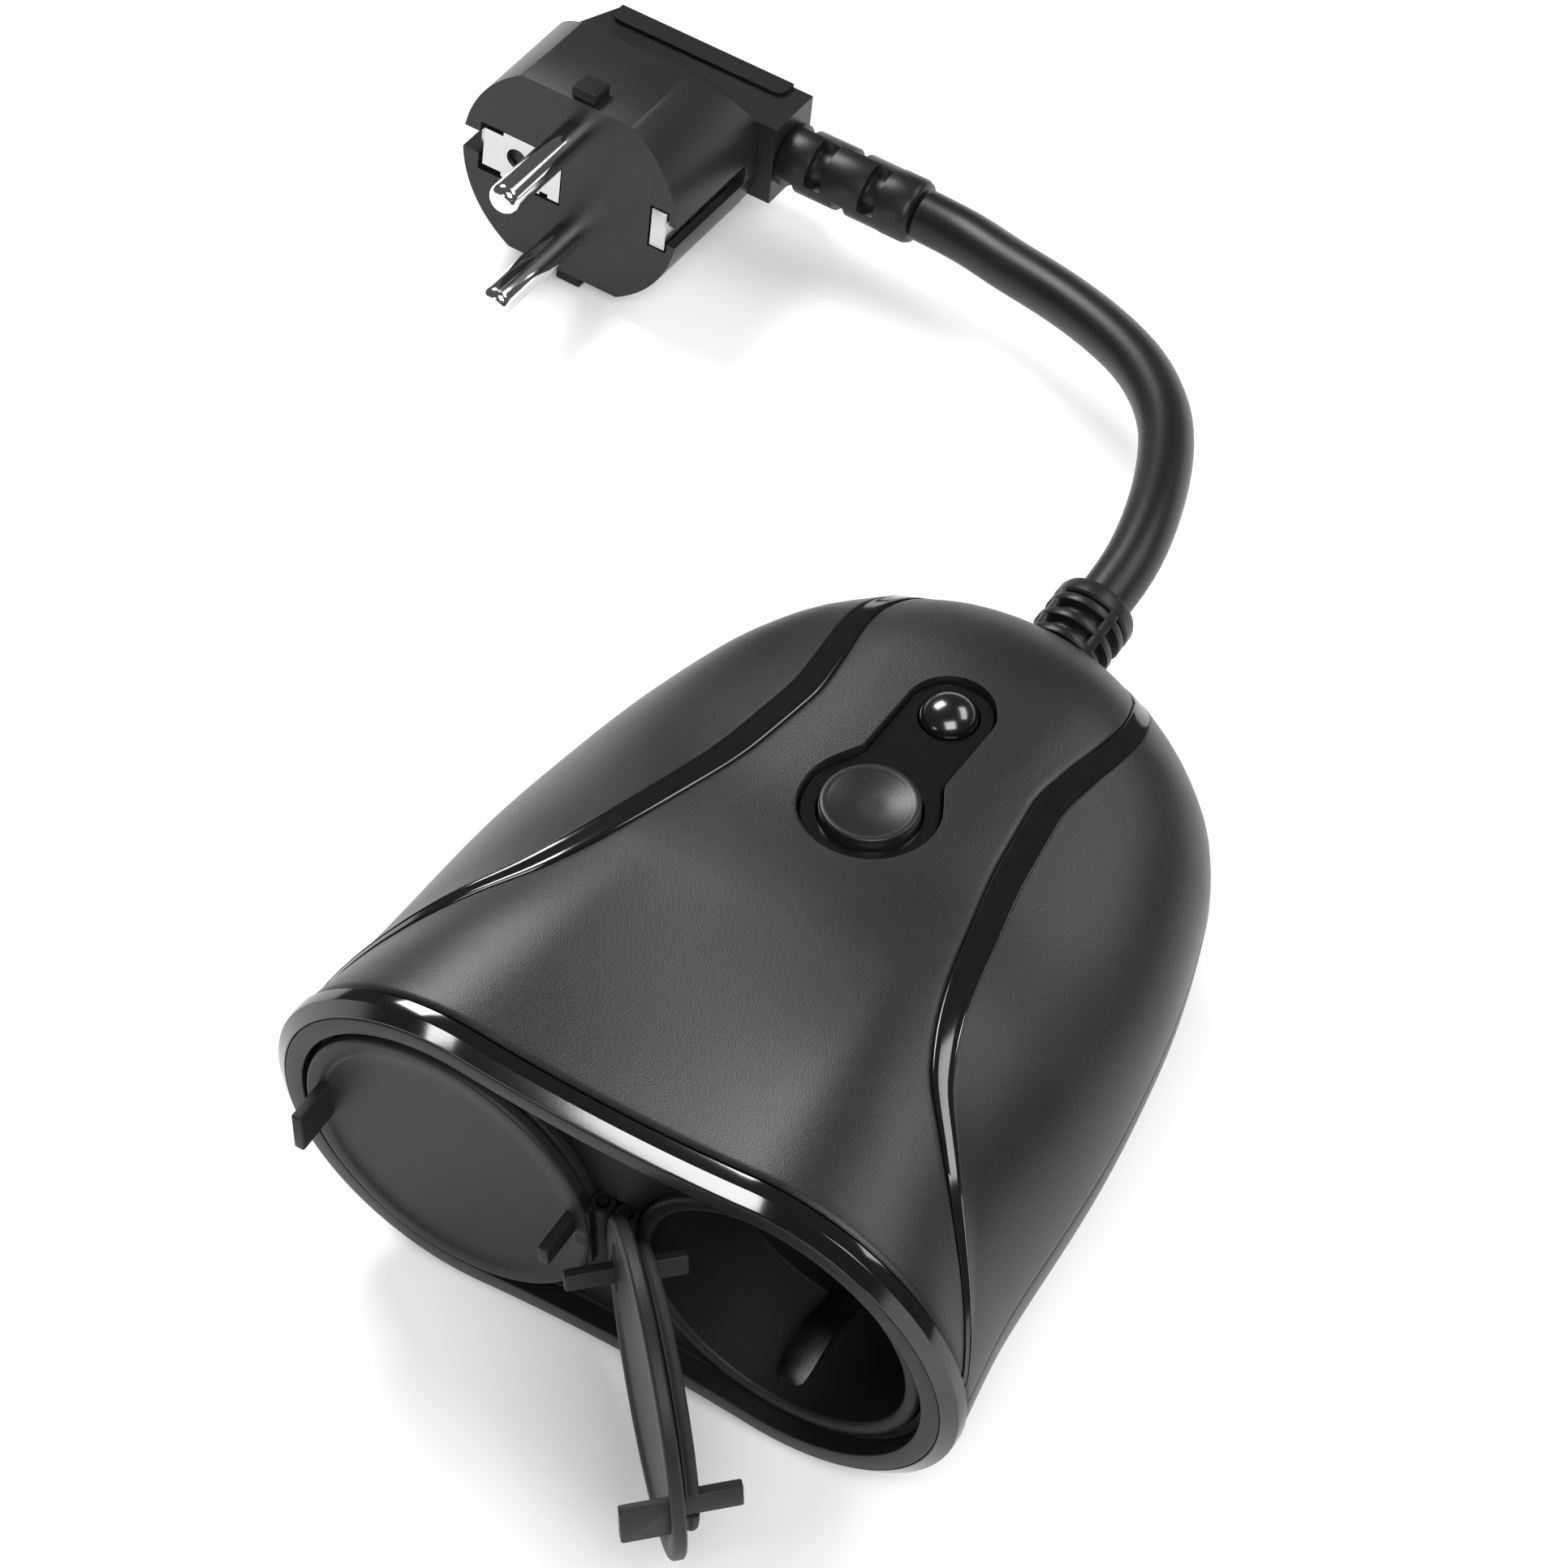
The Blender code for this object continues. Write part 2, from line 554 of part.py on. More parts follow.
def buildCap(side, word, openDeg):
    """Hinged cap, modelled closed and about its own hinge axis, then turned open."""
    reach = LOBE_OFFSET - HINGE_X
    bm = bmesh.new()
    front, back = CAP_FRONT - HINGE_Y, CAP_FRONT + CAP_THICKNESS - HINGE_Y
    solidOfTurn(bm, [(CAP_RADIUS - 0.0004, front), (CAP_RADIUS, front + 0.0004),
                     (CAP_RADIUS, back)], reach, 0.0, 56)
    cap = finish(bm, "cap_" + word, "cap_grey", 30.0)

    def knuckle(work):
        prism(work, circle(0, 0, KNUCKLE_RADIUS, 20), -KNUCKLE_HALF, KNUCKLE_HALF, "Z")

    def web(work):
        box(work, 0.0005, reach - SEAL_RADIUS + 0.0004, front + 0.0003, back, -KNUCKLE_HALF,
            KNUCKLE_HALF)

    def grip(centre, low, high):
        def maker(work):
            box(work, centre - TAB_THICKNESS, centre, front - TAB_REACH, back - 0.0002, low, high)
        return maker

    def tongue(low, high):
        def maker(work):
            box(work, reach + low, reach + high, front + 0.0003, TONGUE_BACK - HINGE_Y, -0.0021,
                0.0021)
        return maker
    nearLow, nearHigh = (-0.0035, -0.0002) if side > 0 else (0.0002, 0.0035)
    cutWith(cap, [knuckle, web, grip(reach + TAB_RADIAL, -0.0035, 0.0035),
                  grip(reach - TAB_RADIAL + TAB_THICKNESS, nearLow, nearHigh),
                  tongue(TONGUE_RADIAL - TAB_THICKNESS, TONGUE_RADIAL),
                  tongue(-TONGUE_RADIAL, TAB_THICKNESS - TONGUE_RADIAL)], "UNION")

    def pinBore(work):
        prism(work, circle(0, 0, HINGE_PIN_RADIUS + 0.0003, 16), -0.02, 0.02, "Z")
    cutWith(cap, [pinBore])

    bm = bmesh.new()
    solidOfTurn(bm, [(SEAL_RADIUS, back + 0.0003), (SEAL_RADIUS, SEAL_BACK - HINGE_Y - 0.0006),
                     (SEAL_RADIUS - 0.0006, SEAL_BACK - HINGE_Y)], reach, 0.0, 48)
    seal = finish(bm, "cap_seal_" + word, "seal_rubber", 30.0)

    def notch(sign):
        def maker(work):
            a, b = sign * (TONGUE_RADIAL - TAB_THICKNESS - 0.0003), sign * 0.0200
            box(work, reach + min(a, b), reach + max(a, b), -HINGE_Y, 0.01, -0.0024, 0.0024)
        return maker
    cutWith(seal, [notch(1), notch(-1)])
    for obj in (cap, seal):
        if side < 0:
            obj.data.transform(Matrix.Scale(-1, 4, (1, 0, 0)))
            obj.data.flip_normals()
        obj.location = (side * HINGE_X, FRONT_Y + HINGE_Y, AXIS_Z)
        obj.rotation_euler = (0.0, 0.0, math.radians(-side * openDeg))

    bm = bmesh.new()
    prism(bm, circle(0, 0, HINGE_PIN_RADIUS, 14), -KNUCKLE_HALF - 0.0004, KNUCKLE_HALF + 0.0004,
          "Z")
    pin = finish(bm, "hinge_pin_" + word, "steel", 30.0)
    pin.location = (side * HINGE_X, FRONT_Y + HINGE_Y, AXIS_Z)


def buildControls():
    bm = bmesh.new()
    prism(bm, keyholeOutline(0.0), INLAY_TOP - INLAY_THICKNESS, INLAY_TOP, "Z")
    inlay = finish(bm, "control_inlay", "trim_gloss", 30.0)
    cutWith(inlay, [lambda work: prism(work, circle(0, 0, BUTTON_RADIUS + 0.0004, 32), -0.01,
                                       0.01, "Z"),
                    lambda work: prism(work, circle(0, LAMP_STEP, LAMP_RADIUS + 0.0003, 24),
                                       -0.01, 0.01, "Z")])
    placeControl(inlay)

    bm = bmesh.new()
    loftRings(bm, [[(a, b, z) for a, b in circle(0, 0, r, 32)]
                   for r, z in ((0.0020, -0.0085), (0.0020, -0.0042), (BUTTON_RADIUS, -0.0042),
                                (BUTTON_RADIUS, -0.0003), (BUTTON_RADIUS - 0.0004, 0.0),
                                (BUTTON_RADIUS - 0.0012, 0.0), (0.0030, -0.0004))])
    button = finish(bm, "button", "cap_grey", 25.0)
    placeControl(button)

    bm = bmesh.new()
    loftRings(bm, [[(a, LAMP_STEP + b, z) for a, b in circle(0, 0, r, 24)]
                   for r, z in ((LAMP_RADIUS, -0.0040), (LAMP_RADIUS, -0.0016),
                                (LAMP_RADIUS * 0.93, -0.0006), (LAMP_RADIUS * 0.75, 0.0002),
                                (LAMP_RADIUS * 0.40, 0.0009))])
    placeControl(finish(bm, "lamp_lens", "lens_black", 40.0))

    bm = bmesh.new()
    box(bm, -0.0024, 0.0024, LAMP_STEP - 0.0024, LAMP_STEP + 0.0024, -0.0075, -0.0048)
    placeControl(finish(bm, "lamp_emitter", "lamp_white"))

    bm = bmesh.new()
    box(bm, -0.0030, 0.0030, -0.0030, 0.0030, -0.0128, -0.0093)
    placeControl(finish(bm, "tact_switch", "module_grey"))


def simpleBox(name, lookName, x0, x1, y0, y1, z0, z1):
    bm = bmesh.new()
    box(bm, x0, x1, FRONT_Y + y0, FRONT_Y + y1, z0, z1)
    return finish(bm, name, lookName)


def buildInside():
    simpleBox("main_board", "board_green", -0.0200, 0.0200, 0.0400, 0.0900, 0.0335, 0.0351)
    simpleBox("switch_riser", "board_green", -0.0060, 0.0060, 0.0580, 0.0700, 0.0354, 0.0368)
    simpleBox("radio_module", "module_grey", 0.0080, 0.0190, 0.0600, 0.0760, 0.0354, 0.0378)
    simpleBox("relay_left", "relay_blue", -0.0190, -0.0035, 0.0420, 0.0610, 0.0180, 0.0332)
    simpleBox("relay_right", "relay_blue", 0.0035, 0.0190, 0.0420, 0.0610, 0.0180, 0.0332)
    simpleBox("supply_module", "module_grey", -0.0150, 0.0150, 0.0640, 0.0800, 0.0170, 0.0332)
    simpleBox("terminal_block", "terminal_grey", -0.0110, 0.0110, 0.0830, 0.0900, 0.0230, 0.0332)


def roundedRectangle(halfX, halfY, corner, steps=5):
    points = []
    for k, (sx, sy) in enumerate(((1, 1), (-1, 1), (-1, -1), (1, -1))):
        for i in range(steps + 1):
            a = math.pi / 2 * (k + i / steps)
            points.append((sx * (halfX - corner) + corner * math.cos(a),
                           sy * (halfY - corner) + corner * math.sin(a)))
    return points


def buildBackPlate():
    centreY = FRONT_Y + PLATE_CENTRE_Y
    bm = bmesh.new()
    outline = [(x, centreY + y) for x, y in
               roundedRectangle(PLATE_HALF_X, PLATE_HALF_Y, PLATE_CORNER)]
    prism(bm, outline, 0.0, PLATE_THICKNESS, "Z")
    plate = finish(bm, "back_plate", "panel_black")
    spots = [(sx * SCREW_X, centreY + sy * SCREW_Y) for sx in (-1, 1) for sy in (-1, 1)]

    def hole(x, y):
        return lambda work: prism(work, circle(x, y, SCREW_RADIUS + 0.0003, 20), -0.002, 0.004,
                                  "Z")
    cutWith(plate, [hole(x, y) for x, y in spots])
    for i, (x, y) in enumerate(spots):
        bm = bmesh.new()
        prism(bm, circle(x, y, SCREW_RADIUS, 20), 0.0003, PLATE_THICKNESS, "Z")
        finish(bm, "screw_%d" % (i + 1), "steel")


def buildGland():
    bm = bmesh.new()
    last = SHELL_RINGS[-1] * MM
    solidOfTurn(bm, [(0.0068, FRONT_Y + 0.1005), (0.0068, FRONT_Y + 0.1030),
                     (0.0042, FRONT_Y + 0.1036), (0.0042, FRONT_Y + last + 0.0003),
                     (GLAND_RADIUS + 0.0003, FRONT_Y + last + 0.0003),
                     (GLAND_RADIUS, FRONT_Y + GLAND_END - 0.0010),
                     (GLAND_RADIUS - 0.0010, FRONT_Y + GLAND_END)], 0.0, AXIS_Z, 24)
    finish(bm, "cord_gland", "cord_black", 30.0)
    simpleBox("cord_clamp", "steel", -0.0060, 0.0060, 0.0925, 0.0965, AXIS_Z - 0.0025,
              AXIS_Z + 0.0030)


def plugPlace():
    return (Matrix.Translation((PLUG_ORIGIN[0], PLUG_ORIGIN[1] + FRONT_Y, PLUG_ORIGIN[2]))
            @ Matrix.Rotation(PLUG_TILT, 4, "X"))


def plugPiece(bm, name, lookName, crease=32.0):
    obj = finish(bm, name, lookName, crease)
    obj.matrix_world = plugPlace()
    return obj


def faceOutline(radius, flat):
    """Round face with flats above and below; each side has corners at the rear height."""
    turn, low = math.asin(flat / radius), math.asin(PLUG_REAR_HALF / radius)
    angles = [turn + (low - turn) * i / 4 for i in range(4)] + [low - low * i / 2 for i in range(2)]
    angles = [-a for a in angles] + [0.0] + angles[::-1]
    right = [(radius * math.cos(a), radius * math.sin(a)) for a in angles]
    return right + [(-x, -z) for x, z in right]


def buildPlugBody(here):
    fall = (PLUG_REAR - PLUG_CREASE) / (PLUG_FLAT - PLUG_REAR_HALF)
    edge = 0.0004
    points = [(x, 0.0, z) for x, z in faceOutline(PLUG_RADIUS - edge, PLUG_FLAT - edge)]
    for x, z in faceOutline(PLUG_RADIUS, PLUG_FLAT):
        rear = PLUG_CREASE + (PLUG_FLAT - max(abs(z), PLUG_REAR_HALF)) * fall
        points += [(x, edge, z), (x, rear, z)]
    bm = bmesh.new()
    verts = [bm.verts.new(p) for p in points]
    result = bmesh.ops.convex_hull(bm, input=verts)
    inside = [e for e in result["geom_interior"] if isinstance(e, bmesh.types.BMVert)]
    bmesh.ops.delete(bm, geom=inside, context="VERTS")
    bmesh.ops.dissolve_limit(bm, angle_limit=math.radians(1.0), verts=bm.verts, edges=bm.edges)
    body = plugPiece(bm, "plug_body", "plug_black")

    def arm(work):
        plan = [(ARM_LEFT - 0.0042, ARM_FRONT), (ARM_END, ARM_FRONT), (ARM_END, ARM_REAR),
                (ARM_LEFT, ARM_REAR)]
        prism(work, plan, -ARM_HALF, ARM_HALF, "Z")
        work.transform(here)

    def cut(x0, x1, y0, y1, z0, z1):
        def maker(work):
            box(work, x0, x1, y0, y1, z0, z1)
            work.transform(here)
        return maker
    cutWith(body, [arm], "UNION")
    cutWith(body, [cut(0.0136, 0.0168, -0.002, 0.0165, -0.0037, 0.0037),
                   cut(0.0166, 0.0200, -0.002, 0.0184, -0.0021, 0.0015),
                   cut(0.0150, 0.0200, 0.0160, 0.0184, -0.0021, 0.0001),
                   cut(-0.0200, -0.0153, -0.002, 0.0184, -0.0015, 0.0024),
                   cut(-0.0155, -0.0014, -0.002, 0.0012, -0.0043, 0.0043)])


def buildPlug():
    here = plugPlace()
    buildPlugBody(here)
    for tag, z in (("a", PIN_SPACING / 2), ("b", -PIN_SPACING / 2)):
        bm = bmesh.new()
        solidOfTurn(bm, [(0.0024, -0.0003), (0.0024, -0.0172), (0.0020, -0.0184),
                         (0.0010, -0.0190)], 0.0, z, 24)
        plugPiece(bm, "plug_pin_" + tag, "chrome", 40.0)
    bm = bmesh.new()
    box(bm, 0.0139, 0.0165, 0.0001, 0.0157, -0.0034, 0.0034)
    plugPiece(bm, "plug_earth_strip", "nickel")
    bm = bmesh.new()
    box(bm, -0.0162, -0.0156, 0.0015, 0.0160, -0.0012, 0.0021)
    plugPiece(bm, "plug_earth_strip_far", "nickel")
    bm = bmesh.new()
    prism(bm, PLATE_OUTLINE, 0.0003, 0.0009, "Y")
    plate = finish(bm, "plug_earth_plate", "nickel")
    cutWith(plate, [lambda work: solidOfTurn(work, [(0.0017, -0.001), (0.0017, 0.002)], -0.0092,
                                             0.0, 20)])
    plate.matrix_world = here
    for tag, sign in (("top", 1), ("bottom", -1)):
        bm = bmesh.new()
        near, far = sign * (PLUG_FLAT + 0.0003), sign * (PLUG_FLAT + 0.0020)
        box(bm, -0.0012, 0.0029, 0.0005, 0.0043, min(near, far), max(near, far))
        plugPiece(bm, "plug_guide_" + tag, "trim_gloss")

    x0, x1, y0, y1, corner = -0.0122, 0.0174, 0.0285, ARM_REAR - 0.0003, 0.0015
    outline = [(x1, y1), (x0, y1)]
    for k, cx in ((2, x0 + corner), (3, x1 - corner)):
        outline += [(cx + corner * math.cos(math.pi / 2 * (k + i / 4)),
                     y0 + corner + corner * math.sin(math.pi / 2 * (k + i / 4))) for i in range(5)]
    bm = bmesh.new()
    prism(bm, outline, ARM_HALF + 0.0003, ARM_HALF + 0.0009, "Z")
    plugPiece(bm, "plug_grip_inlay", "trim_gloss")

    bm = bmesh.new()
    loftRings(bm, [[(x, ARM_Y + a, b) for a, b in circle(0, 0, r, 20)]
                   for r, x in ((RELIEF_RADIUS, RELIEF_START), (RELIEF_RADIUS, 0.0400),
                                (RELIEF_RADIUS, RELIEF_END - 0.0006),
                                (RELIEF_RADIUS - 0.0006, RELIEF_END))])
    plugPiece(bm, "plug_strain_relief", "cord_black", 30.0)


# Route of the cord's centre, seen from above with heights, from the gland to the plug
CORD_ROUTE = (
    (0.0000, 0.1220, 0.0284), (-0.0002, 0.1300, 0.0284), (-0.0022, 0.1390, 0.0276),
    (-0.0060, 0.1490, 0.0257), (-0.0112, 0.1580, 0.0237), (-0.0190, 0.1655, 0.0215),
    (-0.0280, 0.1705, 0.0193), (-0.0380, 0.1742, 0.0172), (-0.0480, 0.1768, 0.0153),
    (-0.0560, 0.1790, 0.0140), (-0.0637, 0.1795, 0.0138),
)


def smoothRoute(route, count):
    """Even points on a Catmull-Rom curve through the route."""
    pts = [Vector(p) for p in route]
    pts = [2 * pts[0] - pts[1]] + pts + [2 * pts[-1] - pts[-2]]
    dense = []
    for k in range(1, len(pts) - 2):
        for i in range(12):
            t = i / 12
            p0, p1, p2, p3 = pts[k - 1:k + 3]
            dense.append(0.5 * (2 * p1 + (p2 - p0) * t + (2 * p0 - 5 * p1 + 4 * p2 - p3) * t * t
                                + (3 * p1 - p0 - 3 * p2 + p3) * t ** 3))
    dense.append(pts[-2])
    walked = [0.0]
    for a, b in zip(dense[:-1], dense[1:]):
        walked.append(walked[-1] + (b - a).length)
    result = []
    for i in range(count):
        want = walked[-1] * i / (count - 1)
        k = max(j for j in range(len(walked) - 1) if walked[j] <= want + 1e-12)
        part = (want - walked[k]) / max(walked[k + 1] - walked[k], 1e-12)
        result.append(dense[k].lerp(dense[k + 1], min(part, 1.0)))
    return result, walked[-1]


def buildCord():
    points, length = smoothRoute(CORD_ROUTE, 12)
    curve = bpy.data.curves.new("mains_cord", "CURVE")
    curve.dimensions = "3D"
    curve.bevel_depth = CORD_RADIUS
    curve.bevel_resolution = 4
    curve.use_fill_caps = True
    line = curve.splines.new("POLY")
    line.points.add(len(points) - 1)
    for spot, p in zip(line.points, points):
        spot.co = (p.x, p.y + FRONT_Y, p.z, 1.0)
    obj = bpy.data.objects.new("mains_cord", curve)
    bpy.context.scene.collection.objects.link(obj)
    obj.data.materials.append(look("cord_black"))
    print("cord length %.4f" % length)


def main():
    clearScene()
    buildShells()
    buildFront()
    for side, word, openDeg in ((-1, "left", 0.0), (1, "right", CAP_OPEN_DEG)):
        buildSocket(side, word)
        buildCap(side, word, openDeg)
    buildControls()
    buildInside()
    buildBackPlate()
    buildGland()
    buildPlug()
    buildCord()
    print("objects", len(bpy.data.objects))


main()
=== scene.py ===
import math

import bmesh
import bpy
import numpy as np
from mathutils import Matrix, Vector


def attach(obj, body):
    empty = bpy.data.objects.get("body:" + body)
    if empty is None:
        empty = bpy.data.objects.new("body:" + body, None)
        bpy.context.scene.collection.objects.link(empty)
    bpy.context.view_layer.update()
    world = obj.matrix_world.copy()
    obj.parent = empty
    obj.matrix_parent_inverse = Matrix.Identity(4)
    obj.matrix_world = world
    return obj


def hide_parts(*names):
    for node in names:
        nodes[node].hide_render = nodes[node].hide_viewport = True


# Outdoor smart plug lying on its back: two capped sockets, a button and a lamp on top,
# and a short cord to an angled earthed plug. Lengths are in metres.
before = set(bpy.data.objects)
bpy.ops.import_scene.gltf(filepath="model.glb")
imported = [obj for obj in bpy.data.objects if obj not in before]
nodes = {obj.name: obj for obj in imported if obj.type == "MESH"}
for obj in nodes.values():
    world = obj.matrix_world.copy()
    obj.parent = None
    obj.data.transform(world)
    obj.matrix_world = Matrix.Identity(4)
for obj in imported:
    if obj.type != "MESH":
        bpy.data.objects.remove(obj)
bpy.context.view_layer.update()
scene = bpy.context.scene
mm = 0.001


# camera

cameraSetup = {"target": (-0.021553, 0.025877, 0.025), "azimuth": -56.375, "elevation": 53.175,
               "roll": -1.438, "distance": 1.0, "lens": 171.9}


def makeCamera():
    az, el = math.radians(cameraSetup["azimuth"]), math.radians(cameraSetup["elevation"])
    roll = math.radians(cameraSetup["roll"])
    back = Vector((math.cos(el) * math.cos(az), math.cos(el) * math.sin(az), math.sin(el)))
    side = Vector((-math.sin(az), math.cos(az), 0.0))
    up = back.cross(side)
    right = math.cos(roll) * side + math.sin(roll) * up
    up = math.cos(roll) * up - math.sin(roll) * side
    turn = Matrix((right, up, back)).transposed().to_4x4()
    camera = bpy.data.objects.new("camera", bpy.data.cameras.new("camera"))
    scene.collection.objects.link(camera)
    place = Vector(cameraSetup["target"]) + back * cameraSetup["distance"]
    camera.matrix_world = Matrix.Translation(place) @ turn
    camera.data.lens = cameraSetup["lens"]
    camera.data.clip_start = 0.05
    scene.camera = camera


makeCamera()


# small helpers

def outward(bm):
    bmesh.ops.recalc_face_normals(bm, faces=bm.faces)


def shade(obj, crease):
    for poly in obj.data.polygons:
        poly.use_smooth = True
    if crease is not None:
        obj.data.set_sharp_from_angle(angle=math.radians(crease))


def paint(obj, *materials):
    obj.data.materials.clear()
    for material in materials:
        obj.data.materials.append(material)


def newPiece(name, bm, material, crease=None, body="body", replaces=()):
    # a finished piece: mesh in its place, object at the origin
    mesh = bpy.data.meshes.new(name)
    bm.to_mesh(mesh)
    bm.free()
    obj = bpy.data.objects.new(name, mesh)
    scene.collection.objects.link(obj)
    shade(obj, crease)
    if material is not None:
        mesh.materials.append(material)
    settle(obj, body, replaces)
    return obj


def settle(obj, body, replaces):
    if body is None:
        return
    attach(obj, body)
    if replaces:
        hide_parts(*replaces)


def applyModifiers(obj):
    bpy.context.view_layer.update()
    graph = bpy.context.evaluated_depsgraph_get()
    mesh = bpy.data.meshes.new_from_object(obj.evaluated_get(graph))
    old = obj.data
    obj.modifiers.clear()
    obj.data = mesh
    bpy.data.meshes.remove(old)
    mesh.name = obj.name
    return obj


def combine(obj, fill, operation="DIFFERENCE"):
    # cuts away, or joins on, the shape that fill() draws
    bm = bmesh.new()
    fill(bm)
    outward(bm)
    mesh = bpy.data.meshes.new("tool")
    bm.to_mesh(mesh)
    bm.free()
    tool = bpy.data.objects.new("tool", mesh)
    scene.collection.objects.link(tool)
    mod = obj.modifiers.new("cut", "BOOLEAN")
    mod.operation = operation
    mod.solver = "EXACT"
    mod.object = tool
    applyModifiers(obj)
    bpy.data.objects.remove(tool, do_unlink=True)
    bpy.data.meshes.remove(mesh)


def smoothEdges(obj, width, segments=3, angle=30.0, crease=40.0):
    mod = obj.modifiers.new("edges", "BEVEL")
    mod.width = width
    mod.segments = segments
    mod.limit_method = "ANGLE"
    mod.angle_limit = math.radians(angle)
    mod.harden_normals = False
    applyModifiers(obj)
    shade(obj, crease)


def loft(bm, rings, capEnds=True, closeRings=False):
    layers = [[bm.verts.new(p) for p in ring] for ring in rings]
    count = len(rings[0])
    pairs = list(zip(layers[:-1], layers[1:]))
    if closeRings:
        pairs.append((layers[-1], layers[0]))
    for low, high in pairs:
        for i in range(count):
            j = (i + 1) % count
            bm.faces.new((low[i], low[j], high[j], high[i]))
    if capEnds and not closeRings:
        bm.faces.new(list(reversed(layers[0])))
        bm.faces.new(layers[-1])


def circle(radius, count, cx=0.0, cy=0.0):
    return [(cx + radius * math.cos(2 * math.pi * i / count),
             cy + radius * math.sin(2 * math.pi * i / count)) for i in range(count)]


def turned(bm, profile, count, cx=0.0, cz=0.0):
    # open profile of (radius, y) turned about Y, flat at both ends
    loft(bm, [[(cx + a, y, cz + b) for a, b in circle(r, count)] for r, y in profile])


def turnedUp(bm, profile, count, cy=0.0):
    # open profile of (radius, z) turned about Z
    loft(bm, [[(a, cy + b, z) for a, b in circle(r, count)] for r, z in profile])


def slab(bm, x0, x1, y0, y1, z0, z1):
    loft(bm, [[(x0, y0, z), (x1, y0, z), (x1, y1, z), (x0, y1, z)] for z in (z0, z1)])


def roundedSlab(bm, x0, x1, y0, y1, z0, z1, edge):
    # box with eased edges, drawn about Z
    hx, hy = (x1 - x0) / 2, (y1 - y0) / 2
    cx, cy = (x0 + x1) / 2, (y0 + y1) / 2
    rings = []
    for k in range(9):
        a = math.pi / 2 * (k % 5) / 4 if k < 5 else math.pi / 2 * (k - 5 + 1) / 4
        low = k < 5
        shrink = edge * (1 - math.sin(a)) if low else edge * (1 - math.cos(a))
        z = z0 + edge * (1 - math.cos(a)) if low else z1 - edge * (1 - math.sin(a))
        ring = []
        for q, (sx, sy) in enumerate(((1, 1), (-1, 1), (-1, -1), (1, -1))):
            for i in range(5):
                t = math.pi / 2 * (q + i / 4)
                ring.append((cx + sx * (hx - edge) + (edge - shrink) * math.cos(t),
                             cy + sy * (hy - edge) + (edge - shrink) * math.sin(t), z))
        rings.append(ring)
    loft(bm, rings)


# materials

def colourOf(value):
    return (*value, 1.0) if isinstance(value, tuple) else (value, value, value, 1.0)


def nodeMaterial(name):
    mat = bpy.data.materials.new(name)
    mat.use_nodes = True
    return mat, mat.node_tree, mat.node_tree.nodes["Principled BSDF"]


def addNode(tree, kind, **inputs):
    node = tree.nodes.new(kind)
    for key, value in inputs.items():
        node.inputs[key].default_value = value
    return node


def wire(tree, *links):
    # each link is (node, output, node, input)
    for start, output, end, socket in links:
        tree.links.new(start.outputs[output], end.inputs[socket])


def mouldedPlastic(name, look):
    # moulded plastic: grain for the bump, slow mottling for colour and roughness
    mat, tree, shader = nodeMaterial(name)
    where = tree.nodes.new("ShaderNodeTexCoord")
    grain = addNode(tree, "ShaderNodeTexNoise", Scale=look["grainScale"], Detail=3.0, Roughness=0.6)
    speck = addNode(tree, "ShaderNodeTexVoronoi", Scale=look["grainScale"] * 1.7)
    slow = addNode(tree, "ShaderNodeTexNoise", Scale=look.get("mottleScale", 60.0), Detail=4.0)
    wire(tree, (where, "Object", grain, "Vector"), (where, "Object", speck, "Vector"),
         (where, "Object", slow, "Vector"))
    colour = tree.nodes.new("ShaderNodeValToRGB")
    low, high = colourOf(look["dark"]), colourOf(look["light"])
    colour.color_ramp.elements[0].position = 0.3
    colour.color_ramp.elements[0].color = low
    colour.color_ramp.elements[1].position = 0.7
    colour.color_ramp.elements[1].color = high
    blend = tree.nodes.new("ShaderNodeMix")
    blend.data_type = "FLOAT"
    blend.inputs[0].default_value = look.get("speckle", 0.5)
    wire(tree, (slow, "Fac", blend, 2), (grain, "Fac", blend, 3), (blend, 0, colour, "Fac"),
         (colour, "Color", shader, "Base Color"))
    rough = tree.nodes.new("ShaderNodeMapRange")
    rough.inputs["To Min"].default_value = look["rough"] - look.get("roughSpread", 0.04)
    rough.inputs["To Max"].default_value = look["rough"] + look.get("roughSpread", 0.04)
    wire(tree, (slow, "Fac", rough, "Value"), (rough, "Result", shader, "Roughness"))
    height = tree.nodes.new("ShaderNodeMath")
    height.operation = "MULTIPLY"
    wire(tree, (grain, "Fac", height, 0), (speck, "Distance", height, 1))
    bump = addNode(tree, "ShaderNodeBump", Strength=look["bump"], Distance=0.0001)
    wire(tree, (height, 0, bump, "Height"), (bump, "Normal", shader, "Normal"))
    shader.inputs["Specular IOR Level"].default_value = look.get("specular", 0.5)
    shader.inputs["Coat Weight"].default_value = look.get("coat", 0.0)
    shader.inputs["Coat Roughness"].default_value = look.get("coatRough", 0.1)
    mat.diffuse_color = high
    return mat


